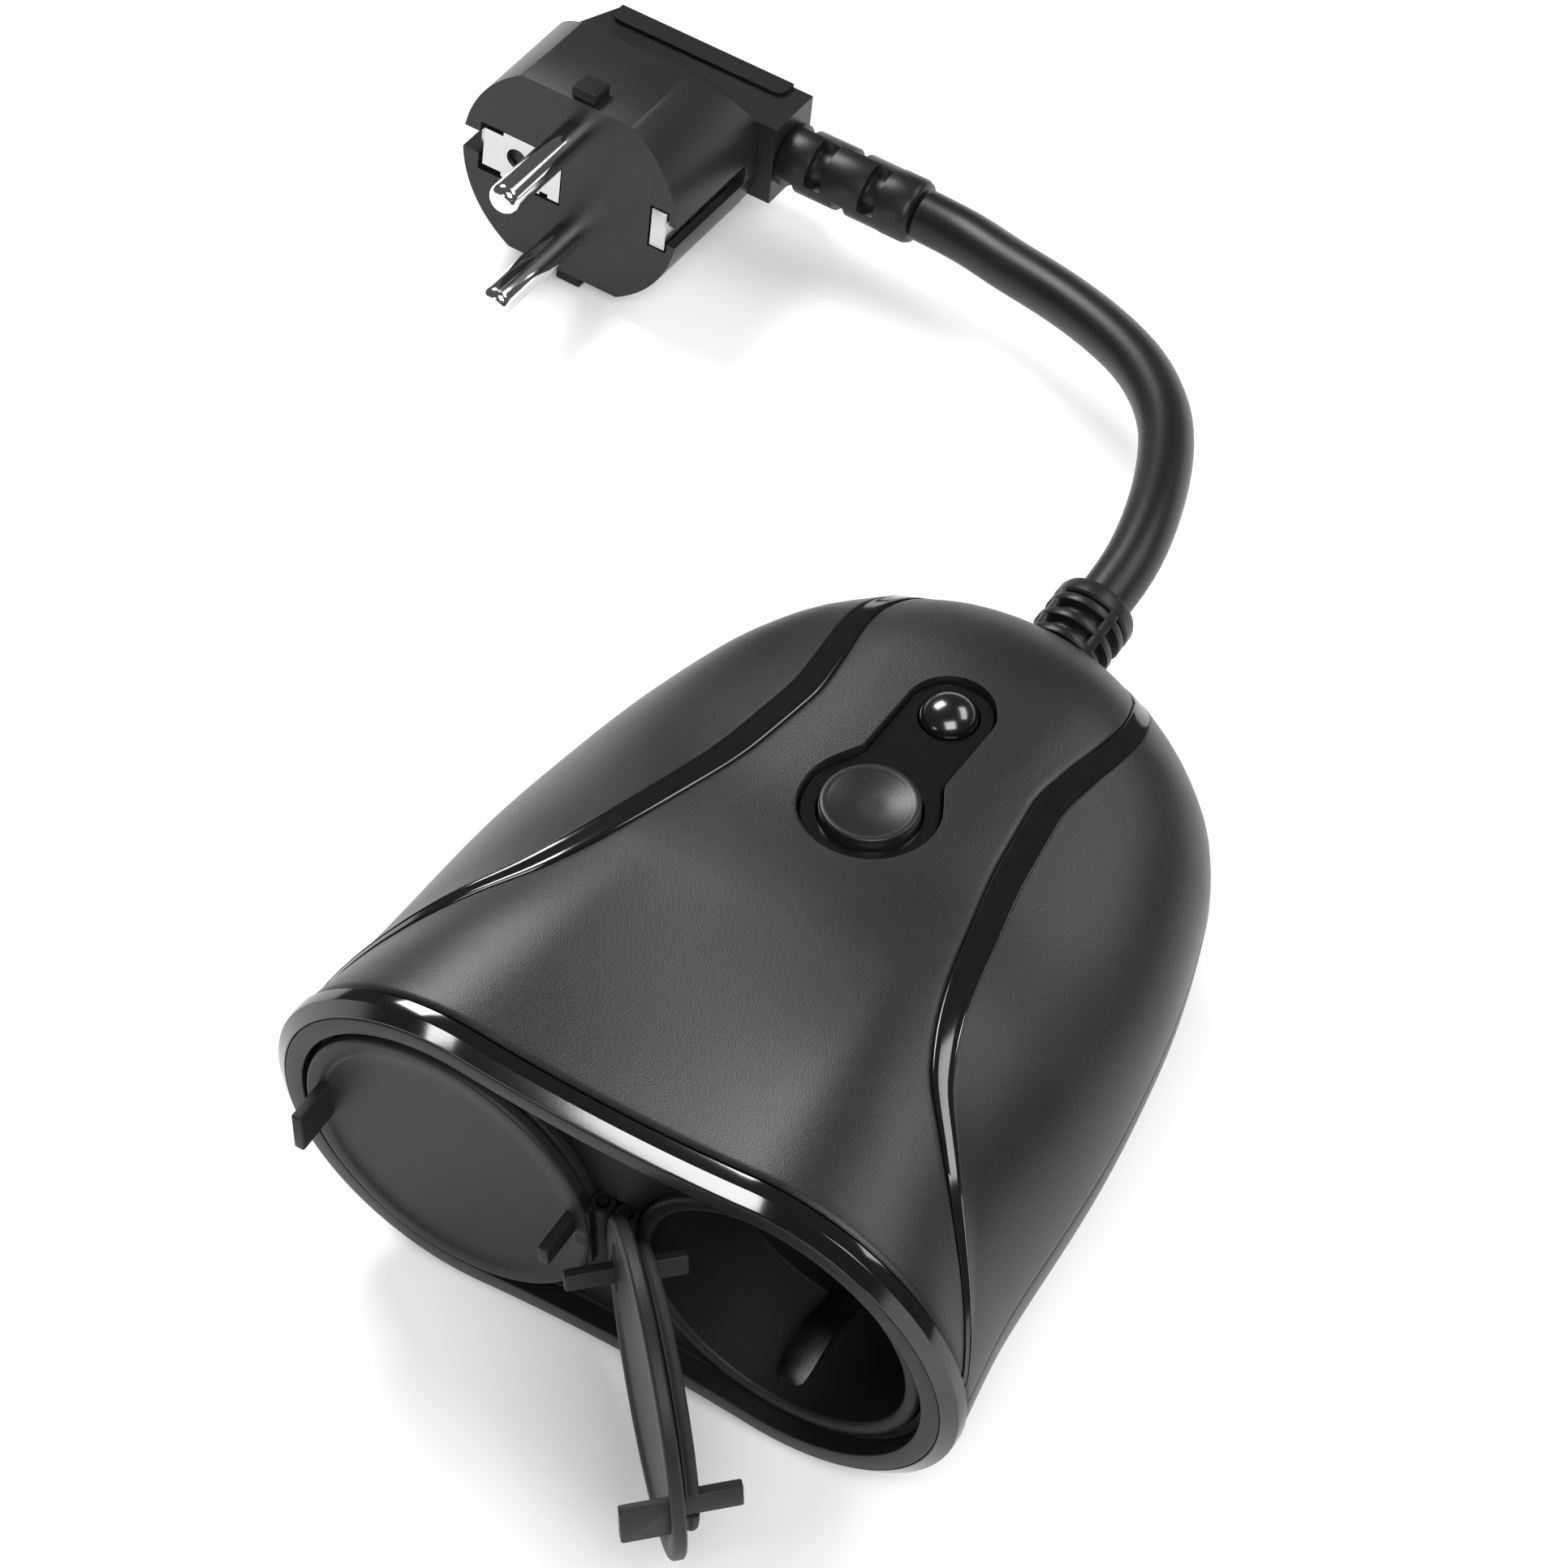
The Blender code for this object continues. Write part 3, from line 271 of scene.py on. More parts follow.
def metal(name, look):
    # metal with fine drawn lines along one axis and faint stains
    mat, tree, shader = nodeMaterial(name)
    where = tree.nodes.new("ShaderNodeTexCoord")
    stretch = tree.nodes.new("ShaderNodeMapping")
    stretch.inputs["Scale"].default_value = look["stretch"]
    lines = addNode(tree, "ShaderNodeTexNoise", Scale=look["lineScale"], Detail=4.0)
    stain = addNode(tree, "ShaderNodeTexNoise", Scale=120.0, Detail=3.0)
    wire(tree, (where, "Object", stretch, "Vector"), (stretch, "Vector", lines, "Vector"),
         (where, "Object", stain, "Vector"))
    colour = tree.nodes.new("ShaderNodeValToRGB")
    colour.color_ramp.elements[0].color = colourOf(look["dark"])
    colour.color_ramp.elements[1].color = colourOf(look["light"])
    wire(tree, (stain, "Fac", colour, "Fac"), (colour, "Color", shader, "Base Color"))
    rough = tree.nodes.new("ShaderNodeMapRange")
    rough.inputs["To Min"].default_value = look["rough"] * 0.75
    rough.inputs["To Max"].default_value = look["rough"] * 1.3
    wire(tree, (lines, "Fac", rough, "Value"), (rough, "Result", shader, "Roughness"))
    bump = addNode(tree, "ShaderNodeBump", Strength=look["bump"], Distance=0.00005)
    wire(tree, (lines, "Fac", bump, "Height"), (bump, "Normal", shader, "Normal"))
    shader.inputs["Metallic"].default_value = 1.0
    mat.diffuse_color = colourOf(look["light"])
    return mat


plasticLooks = {
    "sparkBlack": {"dark": 0.007, "light": 0.014, "rough": 0.40,
                   "grainScale": 3200.0, "bump": 0.35, "specular": 0.42},
    "sidePanelBlack": {"dark": 0.006, "light": 0.012,
                       "rough": 0.38, "grainScale": 3200.0, "bump": 0.32, "specular": 0.35},
    "pianoBlack": {"dark": 0.004, "light": 0.006, "rough": 0.10,
                   "grainScale": 900.0, "bump": 0.01, "roughSpread": 0.02, "specular": 0.7},
    "rimGrey": {"dark": (0.016, 0.016, 0.017), "light": (0.022, 0.022, 0.023), "rough": 0.42,
                "grainScale": 2600.0, "bump": 0.2, "specular": 0.25},
    "capGrey": {"dark": 0.012, "light": 0.017, "rough": 0.46,
                "grainScale": 2600.0, "bump": 0.18, "specular": 0.2},
    # near-black plastic for dark parts, also laid on the recess walls, socket well interiors and hinge
    # knuckles as painted shade
    "blackAndPaintedShade": {"dark": 0.003, "light": 0.005, "rough": 0.6,
                  "grainScale": 2200.0, "bump": 0.15, "specular": 0.25},
    "sealRubber": {"dark": 0.010, "light": 0.016, "rough": 0.7,
                   "grainScale": 1500.0, "bump": 0.25, "specular": 0.3},
    "buttonBlack": {"dark": 0.010, "light": 0.015, "rough": 0.36,
                    "grainScale": 3600.0, "bump": 0.15, "specular": 0.35},
    "lensBlack": {"dark": 0.003, "light": (0.005, 0.005, 0.006), "rough": 0.20,
                  "grainScale": 400.0, "bump": 0.0, "roughSpread": 0.01, "specular": 0.8,
                  "coat": 0.4, "coatRough": 0.14},
    "cordBlack": {"dark": 0.006, "light": 0.010, "rough": 0.38,
                  "grainScale": 1800.0, "bump": 0.12, "specular": 0.3},
    "plugBlack": {"dark": 0.010, "light": 0.015, "rough": 0.38,
                  "grainScale": 2800.0, "bump": 0.2, "specular": 0.3},
    "boardGreen": {"dark": (0.010, 0.070, 0.030), "light": (0.020, 0.120, 0.050), "rough": 0.4,
                   "grainScale": 900.0, "bump": 0.1},
    "relayBlue": {"dark": (0.015, 0.060, 0.180), "light": (0.025, 0.090, 0.260), "rough": 0.35,
                  "grainScale": 1200.0, "bump": 0.1},
    "terminalGrey": {"dark": (0.20, 0.20, 0.19), "light": (0.28, 0.28, 0.27), "rough": 0.5,
                     "grainScale": 1200.0, "bump": 0.1},
    "lampWhite": {"dark": (0.60, 0.60, 0.55), "light": (0.75, 0.75, 0.70), "rough": 0.3,
                  "grainScale": 800.0, "bump": 0.05},
}
metalLooks = {
    "pinChrome": {"dark": (0.70, 0.70, 0.71), "light": (0.86, 0.86, 0.87), "rough": 0.09,
                  "lineScale": 1500.0, "stretch": (1.0, 0.08, 1.0), "bump": 0.05},
    "contactNickel": {"dark": 0.42, "light": (0.62, 0.62, 0.61), "rough": 0.28,
                      "lineScale": 2600.0, "stretch": (1.0, 0.1, 1.0), "bump": 0.15},
    # near-black steel for the earth clips; on the hinge pins it stands in as painted shade
    "blackSteelAndPaintedShade": {"dark": (0.035, 0.035, 0.036), "light": (0.060, 0.060, 0.062), "rough": 0.42,
                  "lineScale": 1200.0, "stretch": (1.0, 0.1, 1.0), "bump": 0.02},
    "contactBrass": {"dark": (0.55, 0.38, 0.15), "light": (0.75, 0.55, 0.25), "rough": 0.25,
                     "lineScale": 2200.0, "stretch": (1.0, 0.1, 1.0), "bump": 0.1},
    "screwSteelAndPaintedShade": {"dark": (0.40, 0.40, 0.41), "light": (0.58, 0.58, 0.60), "rough": 0.3,
                   "lineScale": 2400.0, "stretch": (0.2, 1.0, 1.0), "bump": 0.2},
}
plastic = {name: mouldedPlastic(name, look) for name, look in plasticLooks.items()}
metals = {name: metal(name, look) for name, look in metalLooks.items()}
print("materials ready")


# cord: its centre line, from the gland to the plug

cordShape = {"radius": 0.0039, "points": 40, "rise": -0.050}
cordRoute = (
    (0.0000, 0.1220, 0.0284), (-0.0002, 0.1300, 0.0284), (-0.0022, 0.1390, 0.0276),
    (-0.0060, 0.1490, 0.0257), (-0.0112, 0.1580, 0.0237), (-0.0190, 0.1655, 0.0215),
    (-0.0280, 0.1705, 0.0193), (-0.0380, 0.1742, 0.0172), (-0.0480, 0.1768, 0.0153),
    (-0.0560, 0.1790, 0.0140), (-0.0637, 0.1795, 0.0138),
)


def smoothRoute(route, count):
    # evenly spaced points on a smooth curve through the route
    pts = [Vector(p) for p in route]
    pts = [2 * pts[0] - pts[1]] + pts + [2 * pts[-1] - pts[-2]]
    dense = []
    for k in range(1, len(pts) - 2):
        for i in range(16):
            t = i / 16
            p0, p1, p2, p3 = pts[k - 1:k + 3]
            dense.append(0.5 * (2 * p1 + (p2 - p0) * t + (2 * p0 - 5 * p1 + 4 * p2 - p3) * t * t
                                + (3 * p1 - p0 - 3 * p2 + p3) * t ** 3))
    dense.append(pts[-2])
    for _ in range(30):
        dense = ([dense[0], dense[1]]
                 + [0.25 * a + 0.5 * b + 0.25 * c
                    for a, b, c in zip(dense[1:-3], dense[2:-2], dense[3:-1])]
                 + [dense[-2], dense[-1]])
    walked = [0.0]
    for a, b in zip(dense[:-1], dense[1:]):
        walked.append(walked[-1] + (b - a).length)
    result = []
    for i in range(count):
        want = walked[-1] * i / (count - 1)
        k = max(j for j in range(len(walked) - 1) if walked[j] <= want + 1e-12)
        part = (want - walked[k]) / max(walked[k + 1] - walked[k], 1e-12)
        result.append(dense[k].lerp(dense[k + 1], min(part, 1.0)))
    return result, walked[-1]


def makeCord():
    points, length = smoothRoute(cordRoute, cordShape["points"])
    curve = bpy.data.curves.new("mainsFlex", "CURVE")
    curve.dimensions = "3D"
    curve.bevel_depth = cordShape["radius"]
    curve.bevel_resolution = 10
    curve.use_fill_caps = True
    line = curve.splines.new("POLY")
    line.points.add(len(points) - 1)
    for spot, p in zip(line.points, points):
        spot.co = (p.x, p.y + cordShape["rise"], p.z, 1.0)
    line.use_smooth = True
    cord = bpy.data.objects.new("mainsFlex", curve)
    scene.collection.objects.link(cord)
    curve.materials.append(plastic["cordBlack"])
    settle(cord, "body", ("mains_cord",))
    return cord, points, length


mainsFlex, cordPoints, cordLength = makeCord()
print("cord laid, length %.4f" % cordLength)


# housing: sections along Y, as (distance behind the rim, half width, height above, height below)

housing = {"frontY": -0.050, "axisZ": 0.02837, "power": 2.15, "wall": 0.0022, "flatBack": 0.0016,
           "lobeRadius": 0.0276, "lobeOffset": 0.0242, "waistRadius": 0.1630,
           "trimWidth": 0.0025, "trimLean": 0.0006, "groove": 0.10, "edgeStep": 0.0003,
           "domeStart": 0.0945}
frontY, axisZ = housing["frontY"], housing["axisZ"]
housingSections = (
    (0.0040, 0.0514, 0.0276, 0.0276), (0.0180, 0.0493, 0.0277, 0.0276),
    (0.0400, 0.0482, 0.0262, 0.0275), (0.0620, 0.0452, 0.0222, 0.0270),
    (0.0840, 0.0390, 0.0196, 0.0252), (0.0940, 0.0335, 0.0183, 0.0228),
    (0.1000, 0.0275, 0.0166, 0.0198), (0.1040, 0.0215, 0.0142, 0.0163),
    (0.1070, 0.0145, 0.0110, 0.0120), (0.1090, 0.0069, 0.0069, 0.0069),
)
trimLine = (
    (0.0040, 9.0), (0.0090, 21.6), (0.0153, 35.0), (0.0225, 45.8), (0.0310, 54.2),
    (0.0420, 58.8), (0.0540, 61.3), (0.0660, 63.3), (0.0760, 63.6), (0.0840, 61.0),
    (0.0900, 57.0), (0.0990, 48.5), (0.1040, 41.0), (0.1090, 30.0),
)


def eightOutline(inset, arc=15, waist=6):
    lobe = housing["lobeRadius"] - inset
    waistR = housing["waistRadius"] + inset
    offset = housing["lobeOffset"]
    rise = math.sqrt((lobe + waistR) ** 2 - offset ** 2)
    turn = math.atan2(rise, -offset)
    right = []
    for i in range(arc + 1):
        t = -turn + 2 * turn * i / arc
        right.append((offset + lobe * math.cos(t), lobe * math.sin(t)))
    start, end = math.atan2(-rise, offset), math.atan2(-rise, -offset)
    for i in range(1, waist):
        t = start + (end - start) * i / waist
        right.append((waistR * math.cos(t), rise + waistR * math.sin(t)))
    return right + [(-x, -z) for x, z in right]


def through(stations, y, column):
    # smooth value between stations, without overshoot
    ys = [s[0] for s in stations]
    vs = [s[column] for s in stations]
    if y <= ys[0]:
        return vs[0]
    if y >= ys[-1]:
        return vs[-1]
    k = max(i for i in range(len(ys) - 1) if ys[i] <= y)
    slopes = [(vs[i + 1] - vs[i]) / (ys[i + 1] - ys[i]) for i in range(len(ys) - 1)]

    def tangent(i):
        if i == 0:
            return slopes[0]
        if i == len(ys) - 1:
            return slopes[-1]
        if slopes[i - 1] * slopes[i] <= 0:
            return 0.0
        return 2 * slopes[i - 1] * slopes[i] / (slopes[i - 1] + slopes[i])
    h = ys[k + 1] - ys[k]
    t = (y - ys[k]) / h
    return ((2 * t ** 3 - 3 * t ** 2 + 1) * vs[k] + (t ** 3 - 2 * t ** 2 + t) * h * tangent(k)
            + (-2 * t ** 3 + 3 * t ** 2) * vs[k + 1] + (t ** 3 - t ** 2) * h * tangent(k + 1))


def reachTable():
    lobe, offset = housing["lobeRadius"], housing["lobeOffset"]
    unit = [(x / (lobe + offset), z / lobe) for x, z in eightOutline(0.0, 160, 60)]
    pairs = sorted((math.atan2(z, x), math.hypot(x, z)) for x, z in unit)
    return np.array([a for a, r in pairs]), np.array([r for a, r in pairs])


reachAngles, reachValues = reachTable()


def skinPoint(degrees, y, inset=0.0):
    angle = math.radians(degrees)
    half = through(housingSections, y, 1) - inset
    tall = through(housingSections, y, 2 if math.sin(angle) >= 0 else 3) - inset
    blend = min(max(y / 0.070, 0.0), 1.0)
    blend = blend * blend * (3 - 2 * blend)
    c, s = abs(math.cos(angle)), abs(math.sin(angle))
    power = housing["power"]
    plain = (c ** power + s ** power) ** (-1 / power)
    eight = float(np.interp(angle, reachAngles, reachValues, period=2 * math.pi))
    reach = (1 - blend) * eight + blend * plain
    x = half * reach * math.cos(angle)
    z = max(axisZ + tall * reach * math.sin(angle), housing["flatBack"] + inset)
    return x, z


def panelRows():
    rows = [4.0, 4.15, 4.4]
    y = 5.0
    while y < 92.0:
        rows.append(y)
        y += 1.5
    for y in (92.0, 94.0, 96.0, 98.0, 99.5, 101.0, 102.5, 103.7, 104.8, 105.8, 106.6, 107.3,
              107.9, 108.4, 108.75, 109.0):
        rows.append(y)
    return [y * mm for y in rows]


def panel(name, material, startOf, endOf, steps, proudOf, node, ease=1.0):
    # curved shell panel with eased edges and a real wall
    wall, dome = housing["wall"], housing["domeStart"]
    easing = [(d * ease, drop * ease) for d, drop in
              ((0.0, 0.00030), (0.00009, 0.00014), (0.00022, 0.00005), (0.00045, 0.0))]
    rows = panelRows()
    squeeze = (rows[-1] - wall - dome) / (rows[-1] - dome)
    rings = []
    for y in rows:
        a0, a1 = startOf(y), endOf(y)
        x, z = skinPoint((a0 + a1) / 2, y)
        perMetre = math.degrees(1 / max(math.hypot(x, z - axisZ), 0.004))
        angles = [(a0 + d * perMetre, drop) for d, drop in easing]
        low, high = angles[-1][0], a1 - easing[-1][0] * perMetre
        angles += [(low + (high - low) * i / steps, 0.0) for i in range(1, steps)]
        angles += [(a1 - d * perMetre, drop) for d, drop in reversed(easing)]
        front = max(0.00040 - (y - rows[0]) * 0.8, 0.0)
        yIn = y if y <= dome else dome + (y - dome) * squeeze
        ring = []
        for i, (a, drop) in enumerate(angles):
            part = i / (len(angles) - 1)
            x, z = skinPoint(a, y, drop + front - proudOf(part))
            ring.append((x, frontY + y, z))
        for a, drop in reversed(angles):
            x, z = skinPoint(a, y, wall)
            ring.append((x, frontY + yIn, z))
        rings.append(ring)
    bm = bmesh.new()
    layers = [[bm.verts.new(p) for p in ring] for ring in rings]
    count = len(rings[0])
    for low, high in zip(layers[:-1], layers[1:]):
        for i in range(count):
            j = (i + 1) % count
            bm.faces.new((low[i], low[j], high[j], high[i]))
    for layer in (layers[0], layers[-1]):
        for i in range(count // 2 - 1):
            bm.faces.new((layer[i], layer[i + 1], layer[count - 2 - i], layer[count - 1 - i]))
    outward(bm)
    return newPiece(name, bm, material, 50.0, "body" if node else None,
                    (node,) if node else ())


def trimAngle(y):
    return through(trimLine, y, 1)


def trimHalf(y):
    x, z = skinPoint(trimAngle(y), y)
    return math.degrees(housing["trimWidth"] / 2 / max(math.hypot(x, z - axisZ), 0.004))


def makeHousing():
    gap, lean = housing["groove"], housing["trimLean"]
    flat = lambda part: 0.0

    def lift(part, sign=1.0):
        near = max(0.0, 1.0 - part / 0.2)
        return sign * housing["edgeStep"] * near * near * (3 - 2 * near)
    panel("lowerShell", plastic["sparkBlack"], lambda y: 180.0 + gap, lambda y: 360.0 - gap, 70,
          flat, "lower_shell")
    panel("sidePanelRight", plastic["sidePanelBlack"], lambda y: gap,
          lambda y: trimAngle(y) - trimHalf(y) - gap, 26, lambda part: lift(1 - part),
          "side_panel_right")
    panel("sidePanelLeft", plastic["sidePanelBlack"],
          lambda y: 180.0 - trimAngle(y) + trimHalf(y) + gap, lambda y: 180.0 - gap, 26, lift,
          "side_panel_left")
    panel("trimStripRight", plastic["pianoBlack"], lambda y: trimAngle(y) - trimHalf(y),
          lambda y: trimAngle(y) + trimHalf(y), 4, lambda part: lean * (0.5 - part),
          "trim_strip_right", 0.3)
    panel("trimStripLeft", plastic["pianoBlack"], lambda y: 180.0 - trimAngle(y) - trimHalf(y),
          lambda y: 180.0 - trimAngle(y) + trimHalf(y), 4, lambda part: lean * (part - 0.5),
          "trim_strip_left", 0.3)
    saddle = panel("saddlePanel", plastic["sparkBlack"],
                   lambda y: trimAngle(y) + trimHalf(y) + gap,
                   lambda y: 180.0 - trimAngle(y) - trimHalf(y) - gap, 60,
                   lambda part: lift(min(part, 1 - part), -1.0), None)
    cutControls(saddle)
    settle(saddle, "body", ("saddle_panel",))


# controls on top

controls = {"y": 0.0635, "z": 0.0505, "tilt": -5.5, "button": 0.00672, "lampStep": 0.0196,
            "lamp": 0.0039, "bigEnd": 0.0092, "smallEnd": 0.0060, "inlayTop": -0.0018,
            "inlayThick": 0.0009, "rimEase": 0.00055}
controlPlace = (Matrix.Translation((0.0, frontY + controls["y"], controls["z"]))
                @ Matrix.Rotation(math.radians(controls["tilt"]), 4, "X"))


def keyhole(grow, fine=4):
    # round end at the button, smaller round end at the lamp, flared neck between
    big, small, step = controls["bigEnd"] + grow, controls["smallEnd"] + grow, controls["lampStep"]
    end = step + small
    side = []
    back, forth = 8 * fine, 24 * fine
    for i in range(back + forth + 1):
        if i <= back:
            t = -big * math.cos(math.pi / 2 * i / back)
        else:
            t = end * math.sin(math.pi / 2 * (i - back) / forth)
        bigWide = math.sqrt(max(big ** 2 - t ** 2, 0.0))
        smallWide = small if t > 0 else 0.0
        if t > step:
            smallWide = math.sqrt(max(small ** 2 - (t - step) ** 2, 0.0))
        soft = 0.0024
        mix = max(soft - abs(bigWide - smallWide), 0.0) / soft
        side.append((max(bigWide, smallWide) + (mix ** 2 * soft * 0.25 if 0 < t < step else 0.0), t))
    side[0], side[-1] = (0.0, -big), (0.0, end)
    return side + [(-x, t) for x, t in reversed(side[1:-1])]


def cutControls(saddle):
    def opening(bm):
        ease = controls["rimEase"]
        low = controls["inlayTop"] - controls["inlayThick"] - 0.0003
        levels = [(0.0003, low), (0.0003, -0.0009)]
        levels += [(0.0003 + ease * (1 - math.cos(math.pi / 2 * k / 6)),
                    -0.0009 + ease * 1.7 * math.sin(math.pi / 2 * k / 6)) for k in range(1, 7)]
        levels += [(0.0003 + ease * 2.2, 0.0012), (0.0003 + ease * 2.2, 0.0040)]
        loft(bm, [[(a, b, z) for a, b in keyhole(grow)] for grow, z in levels])
        bm.transform(controlPlace)

    def buttonWell(bm):
        radius = controls["button"] + 0.0012
        turnedUp(bm, [(radius, z) for z in (-0.0100, controls["inlayTop"] - 0.0005)], 64)
        bm.transform(controlPlace)

    def lampWell(bm):
        radius = controls["lamp"] + 0.001
        turnedUp(bm, [(radius, z) for z in (-0.0100, controls["inlayTop"] - 0.0005)], 48,
                 controls["lampStep"])
        bm.transform(controlPlace)
    for tool in (opening, buttonWell, lampWell):
        combine(saddle, tool)
    shade(saddle, 38.0)


def makeControls():
    top, thick = controls["inlayTop"], controls["inlayThick"]
    bm = bmesh.new()
    loft(bm, [[(a, b, z) for a, b in keyhole(grow)]
              for grow, z in ((0.0, top - thick), (0.0, top - 0.0002), (-0.0002, top))])
    bm.transform(controlPlace)
    inlay = newPiece("controlInlay", bm, plastic["pianoBlack"], 30.0, None)
    for radius, step in ((controls["button"] + 0.0004, 0.0),
                         (controls["lamp"] + 0.0003, controls["lampStep"])):
        def hole(work, radius=radius, step=step):
            turnedUp(work, [(radius, z) for z in (-0.01, 0.01)], 72, step)
            work.transform(controlPlace)
        combine(inlay, hole)
    shade(inlay, 30.0)
    settle(inlay, "body", ("control_inlay",))

    radius = controls["button"]
    profile = [(0.0020, -0.0085), (0.0020, -0.0042), (radius, -0.0042), (radius, -0.0006)]
    profile += [(radius - 0.0004 * (1 - math.cos(t)), -0.0004 + 0.0004 * math.sin(t))
                for t in (math.pi / 8 * k for k in range(5))]
    profile += [(radius - 0.0009, 0.00002), (radius - 0.0012, -0.00012)]
    profile += [(radius - 0.0012 - (radius - 0.0022) * k / 12,
                 -0.00012 - 0.00075 * math.sin(math.pi / 2 * k / 12)) for k in range(1, 13)]
    bm = bmesh.new()
    turnedUp(bm, profile, 96)
    bm.transform(controlPlace)
    newPiece("pushButton", bm, plastic["buttonBlack"], 50.0, "button_body", ("button",))

    lamp = controls["lamp"]
    profile = [(lamp, -0.0040), (lamp, -0.0018)]
    profile += [(lamp * math.cos(t), -0.0018 + 0.0029 * math.sin(t))
                for t in (math.pi / 2 * k / 14 for k in range(1, 14))] + [(0.0002, 0.0011)]
    bm = bmesh.new()
    turnedUp(bm, profile, 72, controls["lampStep"])
    bm.transform(controlPlace)
    newPiece("lampLens", bm, plastic["lensBlack"], 60.0, "body", ("lamp_lens",))


makeHousing()
print("housing panels ready")
makeControls()
print("controls ready")


# socket face

face = {"chamferWidth": 0.00185, "chamferDepth": 0.0015, "ringDepth": 0.0037,
        "frameInset": 0.00215, "stepInset": 0.0042, "frameDepth": 0.0060,
        "recessInset": 0.0048, "recessDepth": 0.0032, "gap": 0.0003}


def eightAt(inset, y, arc=96, waist=36):
    return [(x, frontY + y, axisZ + z)
            for x, z in eightOutline(inset, arc, waist)]


def makeFace():
    gap, wide, deep = face["gap"], face["chamferWidth"], face["chamferDepth"]
    profile = [(0.0, face["ringDepth"] - gap), (0.0, deep + 0.0002), (0.00008, deep),
               (wide - 0.00010, 0.00028), (wide, 0.0002),
               (wide + 0.00015, 0.00018), (face["frameInset"] - gap + 0.0001, 0.0004),
               (face["frameInset"] - gap + 0.0001, face["ringDepth"] - gap)]
    bm = bmesh.new()
    loft(bm, [eightAt(inset, y) for inset, y in profile], closeRings=True)
    outward(bm)
    newPiece("frontTrimRing", bm, plastic["pianoBlack"], 28.0, "body", ("front_trim_ring",))

    inset, recess, depth = face["frameInset"], face["recessInset"], face["recessDepth"]
    ease = 0.00015
    profile = [(face["stepInset"], face["frameDepth"]),
               (face["stepInset"], face["ringDepth"] - gap), (inset, face["ringDepth"] - gap),
               (inset, 0.00025), (inset + 0.00008, 0.00008), (inset + 0.00025, 0.0)]
    profile += [(recess - ease + ease * math.sin(t), ease - ease * math.cos(t))
                for t in (math.pi / 2 * k / 4 for k in range(5))]
    profile += [(recess + 0.00008, depth - 0.0003), (recess + 0.0004, depth)]
    bm = bmesh.new()
    loft(bm, [eightAt(a, y) for a, y in profile])
    outward(bm)
    rim = newPiece("frontFrame", bm, plastic["rimGrey"], 40.0, None)
    for side in (1, -1):
        def bore(work, side=side):
            turned(work, [(sockets["collar"] + gap, frontY + y) for y in (-0.002, 0.009)], 96,
                   side * housing["lobeOffset"], axisZ)
        combine(rim, bore)
    combine(rim, hingeWindow)
    # every face more than 0.4 mm behind the front takes the near-black finish: painted shade down the
    # recess walls, floor and bores
    rim.data.materials.append(plastic["blackAndPaintedShade"])
    for poly in rim.data.polygons:
        poly.material_index = 1 if poly.center.y > frontY + 0.0004 else 0
    shade(rim, 40.0)
    settle(rim, "body", ("front_frame",))


def hingeWindow(bm):
    tall = hinge["knuckleHalf"] + 0.0008
    slab(bm, -0.0037, 0.0037, frontY + 0.0002, frontY + 0.009, axisZ - tall, axisZ + tall)


sockets = {"well": 0.0191, "depth": 0.0175, "front": 0.0018, "collar": 0.0213, "cup": 0.0206,
           "floor": 0.0023, "pinSpacing": 0.0190, "pinHole": 0.0027, "earth": 0.0170}
hinge = {"x": 0.0018, "y": 0.0024, "pin": 0.0007, "knuckle": 0.0016, "knuckleHalf": 0.0055,
         "openDegrees": 46.0}


def makeSocket(side, word):
    cx = side * housing["lobeOffset"]
    front, well, collar = sockets["front"], sockets["well"], sockets["collar"]
    floorY = front + sockets["depth"]
    middle, lip = (well + collar) / 2, (collar - well) / 2
    profile = [(middle + lip * math.cos(t), front + 0.0007 - 0.0007 * math.sin(t))
               for t in (math.pi * k / 12 for k in range(13))]
    profile += [(well, floorY - 0.0006), (well - 0.0002, floorY - 0.0002), (well - 0.0006, floorY)]
    bm = bmesh.new()
    outer = [(sockets["cup"] - 0.0005, floorY + sockets["floor"]),
             (sockets["cup"], floorY + sockets["floor"] - 0.0005), (sockets["cup"], 0.0072),
             (collar, 0.0066)]
    turned(bm, [(r, frontY + y) for r, y in outer + profile], 128, cx, axisZ)
    outward(bm)
    cup = newPiece("socketWell" + word.title(), bm, plastic["rimGrey"], 35.0, None)

    def holes(work):
        for shift in (-1, 1):
            turned(work, [(sockets["pinHole"] + 0.0005, frontY + floorY - 0.0001),
                          (sockets["pinHole"], frontY + floorY + 0.0005),
                          (sockets["pinHole"], frontY + floorY + 0.005)], 40,
                   cx + shift * sockets["pinSpacing"] / 2, axisZ)
        for sign in (-1, 1):
            z = axisZ + sign * sockets["earth"]
            slab(work, cx - 0.0027, cx + 0.0027, frontY + floorY - 0.001, frontY + floorY + 0.005,
                 z - 0.0008, z + 0.0008)
    combine(cup, holes)
    combine(cup, hingeWindow)
    # faces inside the well deeper than the lip take the near-black finish: painted shade of the deep
    # well
    paint(cup, plastic["capGrey"], plastic["blackAndPaintedShade"])
    for poly in cup.data.polygons:
        c = poly.center
        inside = math.hypot(c.x - cx, c.z - axisZ) < well + 0.00008
        poly.material_index = 1 if inside and c.y > frontY + front + 0.0009 else 0
    shade(cup, 35.0)
    settle(cup, "body", ("socket_well_" + word,))
    makeEarthClips(word, cx, floorY)


